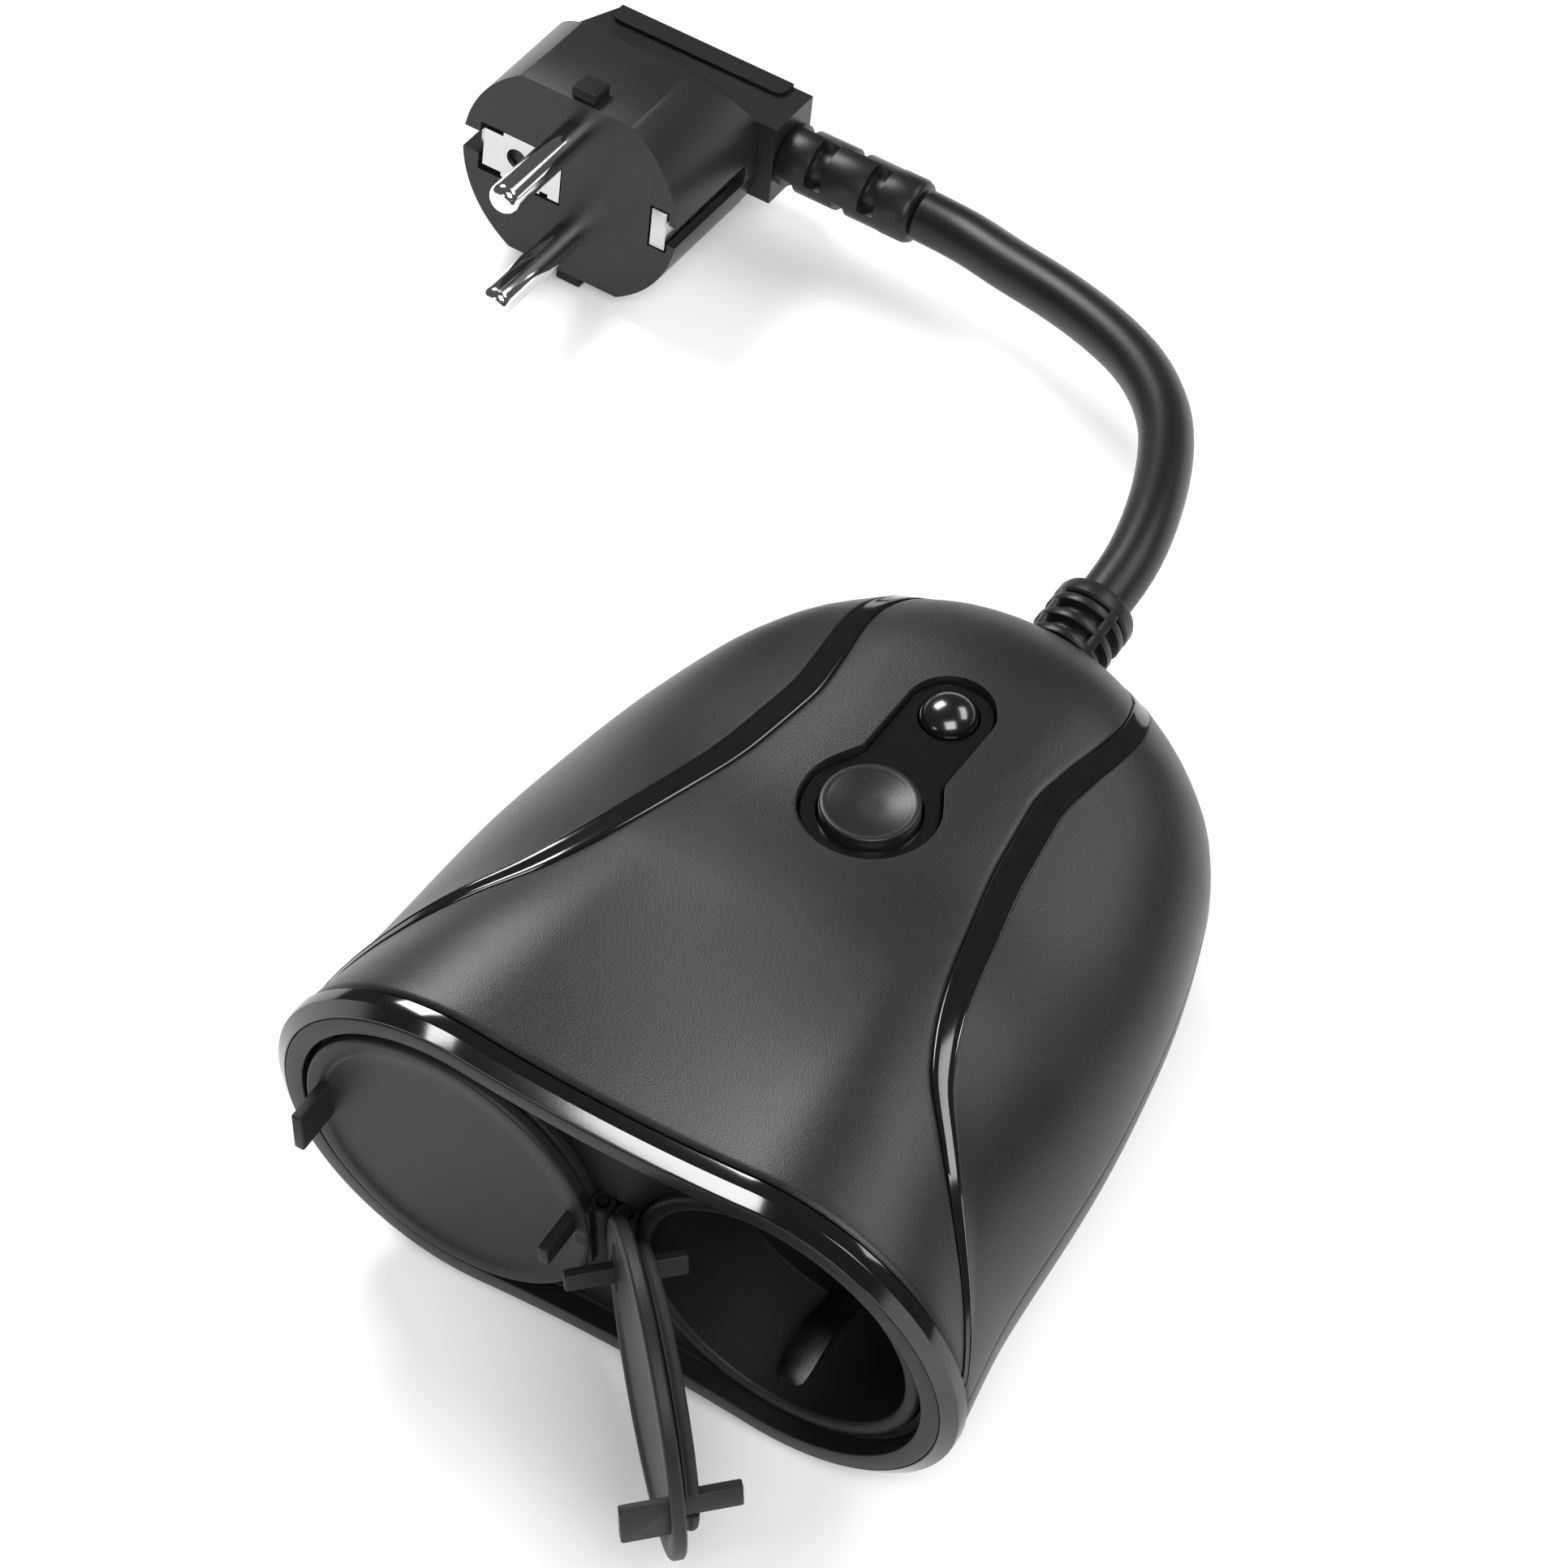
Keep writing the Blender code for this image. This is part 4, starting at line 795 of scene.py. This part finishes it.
def makeEarthClips(word, cx, floorY):
    # sprung strip at the top and bottom of the well, rounded at its free end
    back = floorY + sockets["floor"]
    path = [(0.0046, 0.01835), (0.0052, 0.01800), (0.0070, 0.01715), (0.0090, 0.01640),
            (0.0110, 0.01585), (0.0125, 0.01570), (0.0138, 0.01585), (0.0152, 0.01640),
            (0.0164, 0.01690), (0.0180, 0.01700), (back + 0.0004, 0.01700)]
    thin, bm = 0.00035, bmesh.new()
    for sign in (1, -1):
        rings = []
        for k, (y, z) in enumerate(path):
            half = 0.0022 * (1.0 if k > 1 else (0.62, 0.9)[k])
            before, after = path[max(k - 1, 0)], path[min(k + 1, len(path) - 1)]
            dy, dz = after[0] - before[0], after[1] - before[1]
            size = math.hypot(dy, dz)
            ny, nz = -dz / size * thin, dy / size * thin
            crown = ((-half, 0.6), (-half * 0.9, 1.0), (half * 0.9, 1.0), (half, 0.6),
                     (half, -0.6), (half * 0.9, -1.0), (-half * 0.9, -1.0), (-half, -0.6))
            rings.append([(cx + a, frontY + y + ny * w,
                           axisZ + sign * (z + nz * w)) for a, w in crown])
        loft(bm, rings)
    slab(bm, cx - 0.0022, cx + 0.0022, frontY + back + 0.0004,
         frontY + back + 0.0011, axisZ - 0.01735, axisZ + 0.01735)
    outward(bm)
    newPiece("earthClips" + word.title(), bm, metals["blackSteelAndPaintedShade"], 35.0, "body",
             ("earth_contact_" + word,))


caps = {"radius": 0.0220, "front": -0.0005, "thick": 0.0019, "step": 0.0194, "seal": 0.0187,
        "sealBack": 0.0037, "tabRadial": 0.0198, "tabThick": 0.0016, "tabReach": 0.0062,
        "tongueRadial": 0.0183, "tongueBack": 0.0093}


def makeCap(side, word, openDegrees):
    # drawn closed about its own hinge axis, then turned open
    reach = housing["lobeOffset"] - hinge["x"]
    front = caps["front"] - hinge["y"]
    back = front + caps["thick"]
    radius = caps["radius"]
    turn = math.radians(-side * openDegrees)
    place = (Matrix.Translation((side * hinge["x"], frontY + hinge["y"], axisZ))
             @ Matrix.Rotation(turn, 4, "Z"))
    mirror = Matrix.Scale(side, 4, (1, 0, 0))

    profile = [(radius - 0.0003, back), (radius, back - 0.0003)]
    profile += [(radius - 0.0006 * (1 - math.cos(t)), front + 0.0006 - 0.0006 * math.sin(t))
                for t in (math.pi / 2 * k / 5 for k in range(6))]
    step = caps["step"]
    profile += [(step + 0.0003, front), (step + 0.0001, front + 0.00008),
                (step - 0.0003, front + 0.00042), (step - 0.0005, front + 0.0005)]
    profile += [(step * (0.97 - 0.97 * k / 10) + 0.0002, front + 0.0005 + 0.00025 * (k / 10) ** 0.6)
                for k in range(1, 11)]
    bm = bmesh.new()
    turned(bm, profile, 128, reach, 0.0)
    outward(bm)
    cap = newPiece("cap" + word.title(), bm, plastic["capGrey"], 40.0, None)
    half = hinge["knuckleHalf"]

    def knuckle(work):
        turnedUp(work, [(hinge["knuckle"], z) for z in (-half, half)], 40)

    def web(work):
        slab(work, 0.0005, reach - caps["seal"] + 0.0004, front + 0.0003, back, -half, half)

    def grip(centre, low, high):
        thick = caps["tabThick"]
        return lambda work: roundedSlab(work, centre - thick, centre, front - caps["tabReach"],
                                        back - 0.0002, low, high, 0.00035)

    def tongue(low, high):
        return lambda work: roundedSlab(work, reach + low, reach + high, front + 0.0009,
                                        caps["tongueBack"] - hinge["y"], -0.0021, 0.0021, 0.00035)
    near = (-0.0035, -0.0002) if side > 0 else (0.0002, 0.0035)
    tab, lean, thick = caps["tabRadial"], caps["tongueRadial"], caps["tabThick"]
    for tool in (knuckle, web, grip(reach + tab, -0.0035, 0.0035),
                 grip(reach - tab + thick, *near), tongue(lean - thick, lean),
                 tongue(-lean, thick - lean)):
        combine(cap, tool, "UNION")
    combine(cap, lambda work: turnedUp(work, [(hinge["pin"] + 0.0003, z) for z in (-0.02, 0.02)], 24))
    # faces at the hinge knuckle take the near-black finish: painted shade at the hinge
    paint(cap, plastic["capGrey"], plastic["blackAndPaintedShade"])
    for poly in cap.data.polygons:
        poly.material_index = 1 if poly.center.x < hinge["knuckle"] + 0.0004 else 0

    bm = bmesh.new()
    seal, sealBack = caps["seal"], caps["sealBack"] - hinge["y"]
    turned(bm, [(seal - 0.0004, back + 0.0003), (seal, back + 0.0005), (seal - 0.00025, back + 0.0009),
                (seal, back + 0.0013), (seal, sealBack - 0.0006), (seal - 0.0002, sealBack - 0.0002),
                (seal - 0.0007, sealBack), (seal - 0.0019, sealBack), (seal - 0.0023, sealBack - 0.0006),
                (0.0002, sealBack - 0.0006)], 128, reach, 0.0)
    outward(bm)
    boss = newPiece("capSeal" + word.title(), bm, plastic["sealRubber"], 40.0, None)

    def notches(work):
        for sign in (1, -1):
            a, b = sign * (lean - thick - 0.0003), sign * 0.0200
            slab(work, reach + min(a, b), reach + max(a, b), -hinge["y"], 0.01, -0.0024, 0.0024)
    combine(boss, notches)
    for obj, node, slot in ((cap, "cap_" + word, "cap_grey"),
                            (boss, "cap_seal_" + word, "seal_rubber")):
        obj.data.transform(mirror)
        if side < 0:
            obj.data.flip_normals()
        obj.data.transform(place)
        shade(obj, 38.0)
        settle(obj, "cap_%s_body" % word, (node,))


makeFace()
for side, word, opening in ((-1, "left", 0.0), (1, "right", hinge["openDegrees"])):
    makeSocket(side, word)
    makeCap(side, word, opening)
print("socket face ready")


# gland at the back of the housing: a soft sleeve with ring ribs and lengthwise ribs

gland = {"radius": 0.0059, "start": 0.1085, "end": 0.1215, "core": 0.0046, "rings": 4,
         "ringWide": 0.0013, "pitch": 0.0030, "ribs": 4}


def ribTree(name, material):
    # ring ribs and lengthwise ribs on a straight sleeve along Y
    tree = bpy.data.node_groups.new(name, "GeometryNodeTree")
    for label in ("Ring Radius", "Ring Width", "Pitch", "Rib Radius", "Rib Width", "Rib Length"):
        tree.interface.new_socket(label, in_out="INPUT", socket_type="NodeSocketFloat")
    for label in ("Ring Count", "Rib Count"):
        tree.interface.new_socket(label, in_out="INPUT", socket_type="NodeSocketInt")
    tree.interface.new_socket("Geometry", in_out="OUTPUT", socket_type="NodeSocketGeometry")
    kinds = {"inside": "NodeGroupInput", "outside": "NodeGroupOutput",
             "spots": "GeometryNodeMeshLine", "step": "ShaderNodeCombineXYZ",
             "ring": "GeometryNodeMeshCylinder", "layRing": "GeometryNodeInstanceOnPoints",
             "around": "GeometryNodeMeshCircle", "rib": "GeometryNodeMeshCube",
             "size": "ShaderNodeCombineXYZ", "position": "GeometryNodeInputPosition",
             "facing": "FunctionNodeAlignEulerToVector",
             "layRib": "GeometryNodeInstanceOnPoints", "tip": "GeometryNodeTransform",
             "shift": "GeometryNodeTransform", "half": "ShaderNodeMath",
             "move": "ShaderNodeCombineXYZ", "join": "GeometryNodeJoinGeometry",
             "real": "GeometryNodeRealizeInstances", "paint": "GeometryNodeSetMaterial"}
    made = {key: tree.nodes.new(kind) for key, kind in kinds.items()}
    made["spots"].mode = "OFFSET"
    made["facing"].axis = "X"
    made["half"].operation = "MULTIPLY"
    made["half"].inputs[1].default_value = 0.5
    made["ring"].inputs["Vertices"].default_value = 64
    made["layRing"].inputs["Rotation"].default_value = (math.pi / 2, 0.0, 0.0)
    made["tip"].inputs["Rotation"].default_value = (math.pi / 2, math.pi / 4, 0.0)
    made["paint"].inputs["Material"].default_value = material
    for start, output, end, socket in (
            ("inside", "Pitch", "step", "Y"), ("inside", "Ring Count", "spots", "Count"),
            ("step", "Vector", "spots", "Offset"), ("inside", "Ring Radius", "ring", "Radius"),
            ("inside", "Ring Width", "ring", "Depth"), ("spots", "Mesh", "layRing", "Points"),
            ("ring", "Mesh", "layRing", "Instance"),
            ("inside", "Rib Count", "around", "Vertices"),
            ("inside", "Rib Radius", "around", "Radius"), ("inside", "Rib Width", "size", "X"),
            ("inside", "Rib Width", "size", "Y"), ("inside", "Rib Length", "size", "Z"),
            ("size", "Vector", "rib", "Size"), ("position", "Position", "facing", "Vector"),
            ("around", "Mesh", "layRib", "Points"), ("rib", "Mesh", "layRib", "Instance"),
            ("facing", "Rotation", "layRib", "Rotation"),
            ("layRib", "Instances", "tip", "Geometry"), ("inside", "Rib Length", "half", 0),
            ("half", 0, "move", "Y"), ("move", "Vector", "shift", "Translation"),
            ("tip", "Geometry", "shift", "Geometry"),
            ("layRing", "Instances", "join", "Geometry"),
            ("shift", "Geometry", "join", "Geometry"), ("join", "Geometry", "real", "Geometry"),
            ("real", "Geometry", "paint", "Geometry"),
            ("paint", "Geometry", "outside", "Geometry")):
        wire(tree, (made[start], output, made[end], socket))
    return tree


def grow(tree, name, values, material):
    # runs a tree with the given inputs and returns the plain mesh object
    obj = bpy.data.objects.new(name, bpy.data.meshes.new(name))
    scene.collection.objects.link(obj)
    mod = obj.modifiers.new("tree", "NODES")
    mod.node_group = tree
    for item in tree.interface.items_tree:
        if item.in_out == "INPUT" and item.name in values:
            mod[item.identifier] = values[item.name]
    applyModifiers(obj)
    if not obj.data.materials:
        obj.data.materials.append(material)
    return obj


def makeGland():
    start, end, core, radius = gland["start"], gland["end"], gland["core"], gland["radius"]
    sleeve = ((core, start - end - 0.004), (core, -0.0012), (core - 0.0004, -0.0008))
    collar = ((radius - 0.0003, -0.0028), (radius, -0.0025), (radius, -0.0010),
              (radius - 0.0003, -0.0003), (radius - 0.0010, 0.0))
    bm = bmesh.new()
    for profile in (sleeve, collar):
        turned(bm, [(r, frontY + end + y) for r, y in profile], 64, 0.0, axisZ)
    outward(bm)
    newPiece("glandSleeve", bm, plastic["cordBlack"], 40.0, "body", ("cord_gland",))
    tree = ribTree("glandRibs", plastic["cordBlack"])
    ribs = grow(tree, "glandRibs", {
        "Ring Radius": gland["radius"], "Ring Width": gland["ringWide"], "Pitch": gland["pitch"],
        "Ring Count": gland["rings"], "Rib Radius": gland["radius"] - 0.0008,
        "Rib Width": 0.0015, "Rib Length": end - start - 0.002, "Rib Count": gland["ribs"]},
        plastic["cordBlack"])
    ribs.data.transform(Matrix.Translation((0.0, frontY + start, axisZ)))
    smoothEdges(ribs, 0.00018, 2)
    settle(ribs, "body", ())


makeGland()
print("gland ready")


# plug, drawn in its own frame: pins along -Y, cord leaving along +X

plug = {"origin": (-0.1076, 0.1536, 0.0188), "tilt": -11.0, "radius": 0.0183, "flat": 0.0158,
        "crease": 0.0155, "rear": 0.0230, "rearHalf": 0.0057, "armFront": 0.0220,
        "armRear": 0.0320, "armHalf": 0.0068, "armLeft": -0.0126, "armEnd": 0.0207,
        "pinSpacing": 0.0190, "pinRadius": 0.0024, "pinLength": 0.0190, "armY": 0.0264,
        "reliefStart": 0.0210, "reliefEnd": 0.0432, "relief": 0.00483}
plugPlace = (Matrix.Translation((plug["origin"][0], plug["origin"][1] + frontY,
                                 plug["origin"][2]))
             @ Matrix.Rotation(math.radians(plug["tilt"]), 4, "X"))


def plugFace(radius, flat, count=48):
    turn, low = math.asin(flat / radius), math.asin(plug["rearHalf"] / radius)
    spread = [turn * (2 * i / count - 1) for i in range(count + 1)] + [low, -low]
    right = [(radius * math.cos(a), radius * math.sin(a)) for a in sorted(spread)]
    return right + [(-x, -z) for x, z in right]


def makePlugBody():
    # round front with flats, sloping in behind them to a flat arm across the back
    fall = (plug["rear"] - plug["crease"]) / (plug["flat"] - plug["rearHalf"])
    points = []
    for x, z in plugFace(plug["radius"], plug["flat"]):
        rear = plug["crease"] + (plug["flat"] - max(abs(z), plug["rearHalf"])) * fall
        points += [(x, 0.0, z), (x, rear, z)]
    bm = bmesh.new()
    verts = [bm.verts.new(p) for p in points]
    result = bmesh.ops.convex_hull(bm, input=verts)
    spare = [e for e in result["geom_interior"] if isinstance(e, bmesh.types.BMVert)]
    bmesh.ops.delete(bm, geom=spare, context="VERTS")
    bmesh.ops.dissolve_limit(bm, angle_limit=math.radians(0.6), verts=bm.verts, edges=bm.edges)
    outward(bm)
    body = newPiece("plugBody", bm, plastic["plugBlack"], 20.0, None)

    def arm(work):
        plan = ((plug["armLeft"] - 0.0042, plug["armFront"]), (plug["armEnd"], plug["armFront"]),
                (plug["armEnd"], plug["armRear"]), (plug["armLeft"], plug["armRear"]))
        loft(work, [[(x, y, z) for x, y in plan] for z in (-plug["armHalf"], plug["armHalf"])])
    combine(body, arm, "UNION")

    for x0, x1, y0, y1, z0, z1 in ((0.0136, 0.0168, -0.002, 0.0165, -0.0037, 0.0037),
                                   (0.0166, 0.0200, -0.002, 0.0184, -0.0021, 0.0015),
                                   (0.0150, 0.0200, 0.0160, 0.0184, -0.0021, 0.0001),
                                   (-0.0200, -0.0153, -0.002, 0.0184, -0.0015, 0.0024),
                                   (-0.0155, -0.0014, -0.002, 0.0012, -0.0043, 0.0043)):
        combine(body, lambda work: slab(work, x0, x1, y0, y1, z0, z1))
    smoothEdges(body, 0.00022, 2, 22.0, 22.0)
    body.data.transform(plugPlace)
    settle(body, "body", ("plug_body",))
    return body


def plugPart(name, fill, material, node, crease=35.0):
    bm = bmesh.new()
    fill(bm)
    bm.transform(plugPlace)
    outward(bm)
    return newPiece(name, bm, material, crease, "body", (node,) if node else ())


def makePlug():
    parts = [makePlugBody()]
    for tag, z in (("a", plug["pinSpacing"] / 2), ("b", -plug["pinSpacing"] / 2)):
        def pin(bm, z=z):
            r, far = plug["pinRadius"], plug["pinLength"]
            profile = [(r, 0.0)]
            profile += [(r - 0.0014 * (1 - math.cos(t)), -far + 0.0014 - 0.0014 * math.sin(t))
                        for t in (math.pi / 2 * k / 7 for k in range(8))]
            turned(bm, profile, 48, 0.0, z)
        parts.append(plugPart("plugPin" + tag.upper(), pin, metals["pinChrome"],
                              "plug_pin_" + tag, 60.0))
    parts.append(plugPart("earthStrip", lambda bm: roundedSlab(
        bm, 0.0139, 0.0165, -0.0001, 0.0157, -0.0034, 0.0034, 0.0002), metals["contactNickel"],
        "plug_earth_strip"))
    # the far strip takes the darker screw steel instead of the near strip's nickel: painted shade in the
    # groove
    parts.append(plugPart("earthStripFar", lambda bm: roundedSlab(
        bm, -0.0162, -0.0156, 0.0015, 0.0160, -0.0012, 0.0021, 0.0002), metals["screwSteelAndPaintedShade"],
        "plug_earth_strip_far"))

    def plate(bm):
        upper = [(-0.0017, 0.0040), (-0.0036, 0.0040), (-0.0036, 0.0034), (-0.0050, 0.0034),
                 (-0.0050, 0.0040), (-0.0117, 0.0040), (-0.0117, 0.0033), (-0.0149, 0.0033)]
        outline = upper + [(x, -z) for x, z in reversed(upper)]
        loft(bm, [[(x, y, z) for x, z in outline] for y in (0.0002, 0.0009)])
    parts.append(plugPart("earthPlate", plate, metals["contactNickel"], "plug_earth_plate"))
    combine(parts[-1], lambda bm: (turned(bm, [(0.0017, -0.001), (0.0017, 0.002)], 48, -0.0092,
                                          0.0003), bm.transform(plugPlace)))
    for word, sign in (("Top", 1), ("Bottom", -1)):
        near, far = sign * (plug["flat"] + 0.0001), sign * (plug["flat"] + 0.0019)
        parts.append(plugPart("guideBlock" + word, lambda bm, a=min(near, far), b=max(near, far):
                              roundedSlab(bm, -0.0012, 0.0029, 0.0003, 0.0043, a, b, 0.0003),
                              plastic["blackAndPaintedShade"], "plug_guide_" + word.lower()))

    def inlay(bm):
        x0, x1, y0, y1, corner = -0.0122, 0.0174, 0.0285, plug["armRear"] - 0.0001, 0.0015
        outline = [(x1, y1), (x0, y1)]
        for k, cx in ((2, x0 + corner), (3, x1 - corner)):
            outline += [(cx + corner * math.cos(math.pi / 2 * (k + i / 8)),
                         y0 + corner + corner * math.sin(math.pi / 2 * (k + i / 8)))
                        for i in range(9)]
        loft(bm, [[(x, y, z) for x, y in outline]
                  for z in (plug["armHalf"] + 0.0001, plug["armHalf"] + 0.0007)])
    parts.append(plugPart("gripInlay", inlay, plastic["blackAndPaintedShade"], "plug_grip_inlay"))
    parts.append(makeRelief())
    return parts


def makeRelief():
    # soft sleeve with staggered slots and a plain rounded end
    r, x0, x1 = plug["relief"], plug["reliefStart"], plug["reliefEnd"]
    profile = [(r - 0.0002, x0), (r, x0 + 0.0003), (r, x1 - 0.0050), (r + 0.0001, x1 - 0.0044),
               (r + 0.0001, x1 - 0.0010), (r - 0.0002, x1 - 0.0003), (r - 0.0007, x1)]
    bm = bmesh.new()
    loft(bm, [[(x, plug["armY"] + a, b) for a, b in circle(q, 72)] for q, x in profile])
    outward(bm)
    relief = newPiece("plugStrainRelief", bm, plastic["cordBlack"], 35.0, None)

    def slots(work):
        for start, wide, first, reach in ((0.0222, 0.0020, 45, 0.55), (0.0262, 0.0026, 135, 0.90),
                                          (0.0308, 0.0020, 45, 0.55), (0.0352, 0.0026, 135, 0.90)):
            for middle in (math.radians(first), math.radians(first + 180)):
                angles = [middle + reach * (i / 8 - 1) for i in range(17)]
                outline = [(0.0064, a) for a in angles] + [(0.0032, a) for a in reversed(angles)]
                loft(work, [[(x, plug["armY"] + q * math.cos(a), q * math.sin(a))
                             for q, a in outline] for x in (start, start + wide)])
    combine(relief, slots)
    smoothEdges(relief, 0.00015, 2, 40.0, 40.0)
    relief.data.transform(plugPlace)
    settle(relief, "body", ("plug_strain_relief",))
    return relief


plugParts = makePlug()
print("plug ready")


# pieces kept from the frame, with their finishes

finishes = (
    (plastic["sidePanelBlack"], ("back_plate",)),
    (plastic["boardGreen"], ("main_board", "switch_riser")),
    (plastic["relayBlue"], ("relay_left", "relay_right")),
    (plastic["terminalGrey"], ("terminal_block",)),
    (plastic["blackAndPaintedShade"], ("tact_switch",)),
    (plastic["lampWhite"], ("lamp_emitter",)),
    (metals["contactNickel"], ("radio_module", "supply_module")),
    # hinge pins take the near-black steel as painted shade at the hinge
    (metals["blackSteelAndPaintedShade"], ("hinge_pin_left", "hinge_pin_right")),
    (metals["contactBrass"], ("contact_left_a", "contact_left_b", "contact_right_a",
                              "contact_right_b")),
    (metals["screwSteelAndPaintedShade"], ("cord_clamp", "screw_1", "screw_2", "screw_3", "screw_4")),
)
for material, names in finishes:
    for name in names:
        paint(nodes[name], material)
print("kept pieces finished")


# studio

studio = {"floorSize": 6.0, "floorGlow": 0.10, "worldStrength": 0.10,
          "lights": (
              # name, direction towards the light, distance, width, height, watts
              ("keyLeft", (-0.62, 0.36, 0.70), 0.9, 0.36, 0.30, 7.0),
              ("fillRight", (0.45, -0.50, 0.78), 1.1, 0.7, 0.7, 11.0),
              ("frontLeft", (-0.36, -0.91, 0.19), 0.8, 0.12, 0.08, 0.5),
              ("backRight", (0.44, 0.58, 0.68), 0.9, 0.62, 0.32, 3.8),
          )}


def makeStudio():
    bm = bmesh.new()
    half = studio["floorSize"] / 2
    bm.faces.new([bm.verts.new(p) for p in ((-half, -half, -0.0001), (half, -half, -0.0001),
                                            (half, half, -0.0001), (-half, half, -0.0001))])
    mat, tree, shader = nodeMaterial("floorWhite")
    shader.inputs["Roughness"].default_value = 0.9
    speckle = addNode(tree, "ShaderNodeTexNoise", Scale=40.0)
    tint = tree.nodes.new("ShaderNodeValToRGB")
    tint.color_ramp.elements[0].color = (0.90, 0.90, 0.90, 1.0)
    tint.color_ramp.elements[1].color = (0.92, 0.92, 0.92, 1.0)
    wire(tree, (speckle, "Fac", tint, "Fac"), (tint, "Color", shader, "Base Color"))
    shader.inputs["Emission Color"].default_value = (1.0, 1.0, 1.0, 1.0)
    shader.inputs["Emission Strength"].default_value = studio["floorGlow"]
    floor = newPiece("floor", bm, mat, None, None)
    world = bpy.data.worlds.new("studio")
    scene.world = world
    world.use_nodes = True
    ground = world.node_tree.nodes["Background"]
    ground.inputs["Color"].default_value = (1.0, 1.0, 1.0, 1.0)
    ground.inputs["Strength"].default_value = studio["worldStrength"]
    target = Vector((0.0, 0.02, 0.02))
    for name, toward, distance, width, height, watts in studio["lights"]:
        lamp = bpy.data.lights.new(name, "AREA")
        lamp.shape = "RECTANGLE"
        lamp.size, lamp.size_y, lamp.energy = width, height, watts
        obj = bpy.data.objects.new(name, lamp)
        scene.collection.objects.link(obj)
        way = Vector(toward).normalized()
        obj.location = target + way * distance
        obj.rotation_euler = way.to_track_quat("Z", "Y").to_euler()
    scene.view_settings.view_transform = "Standard"


makeStudio()
print("studio ready")
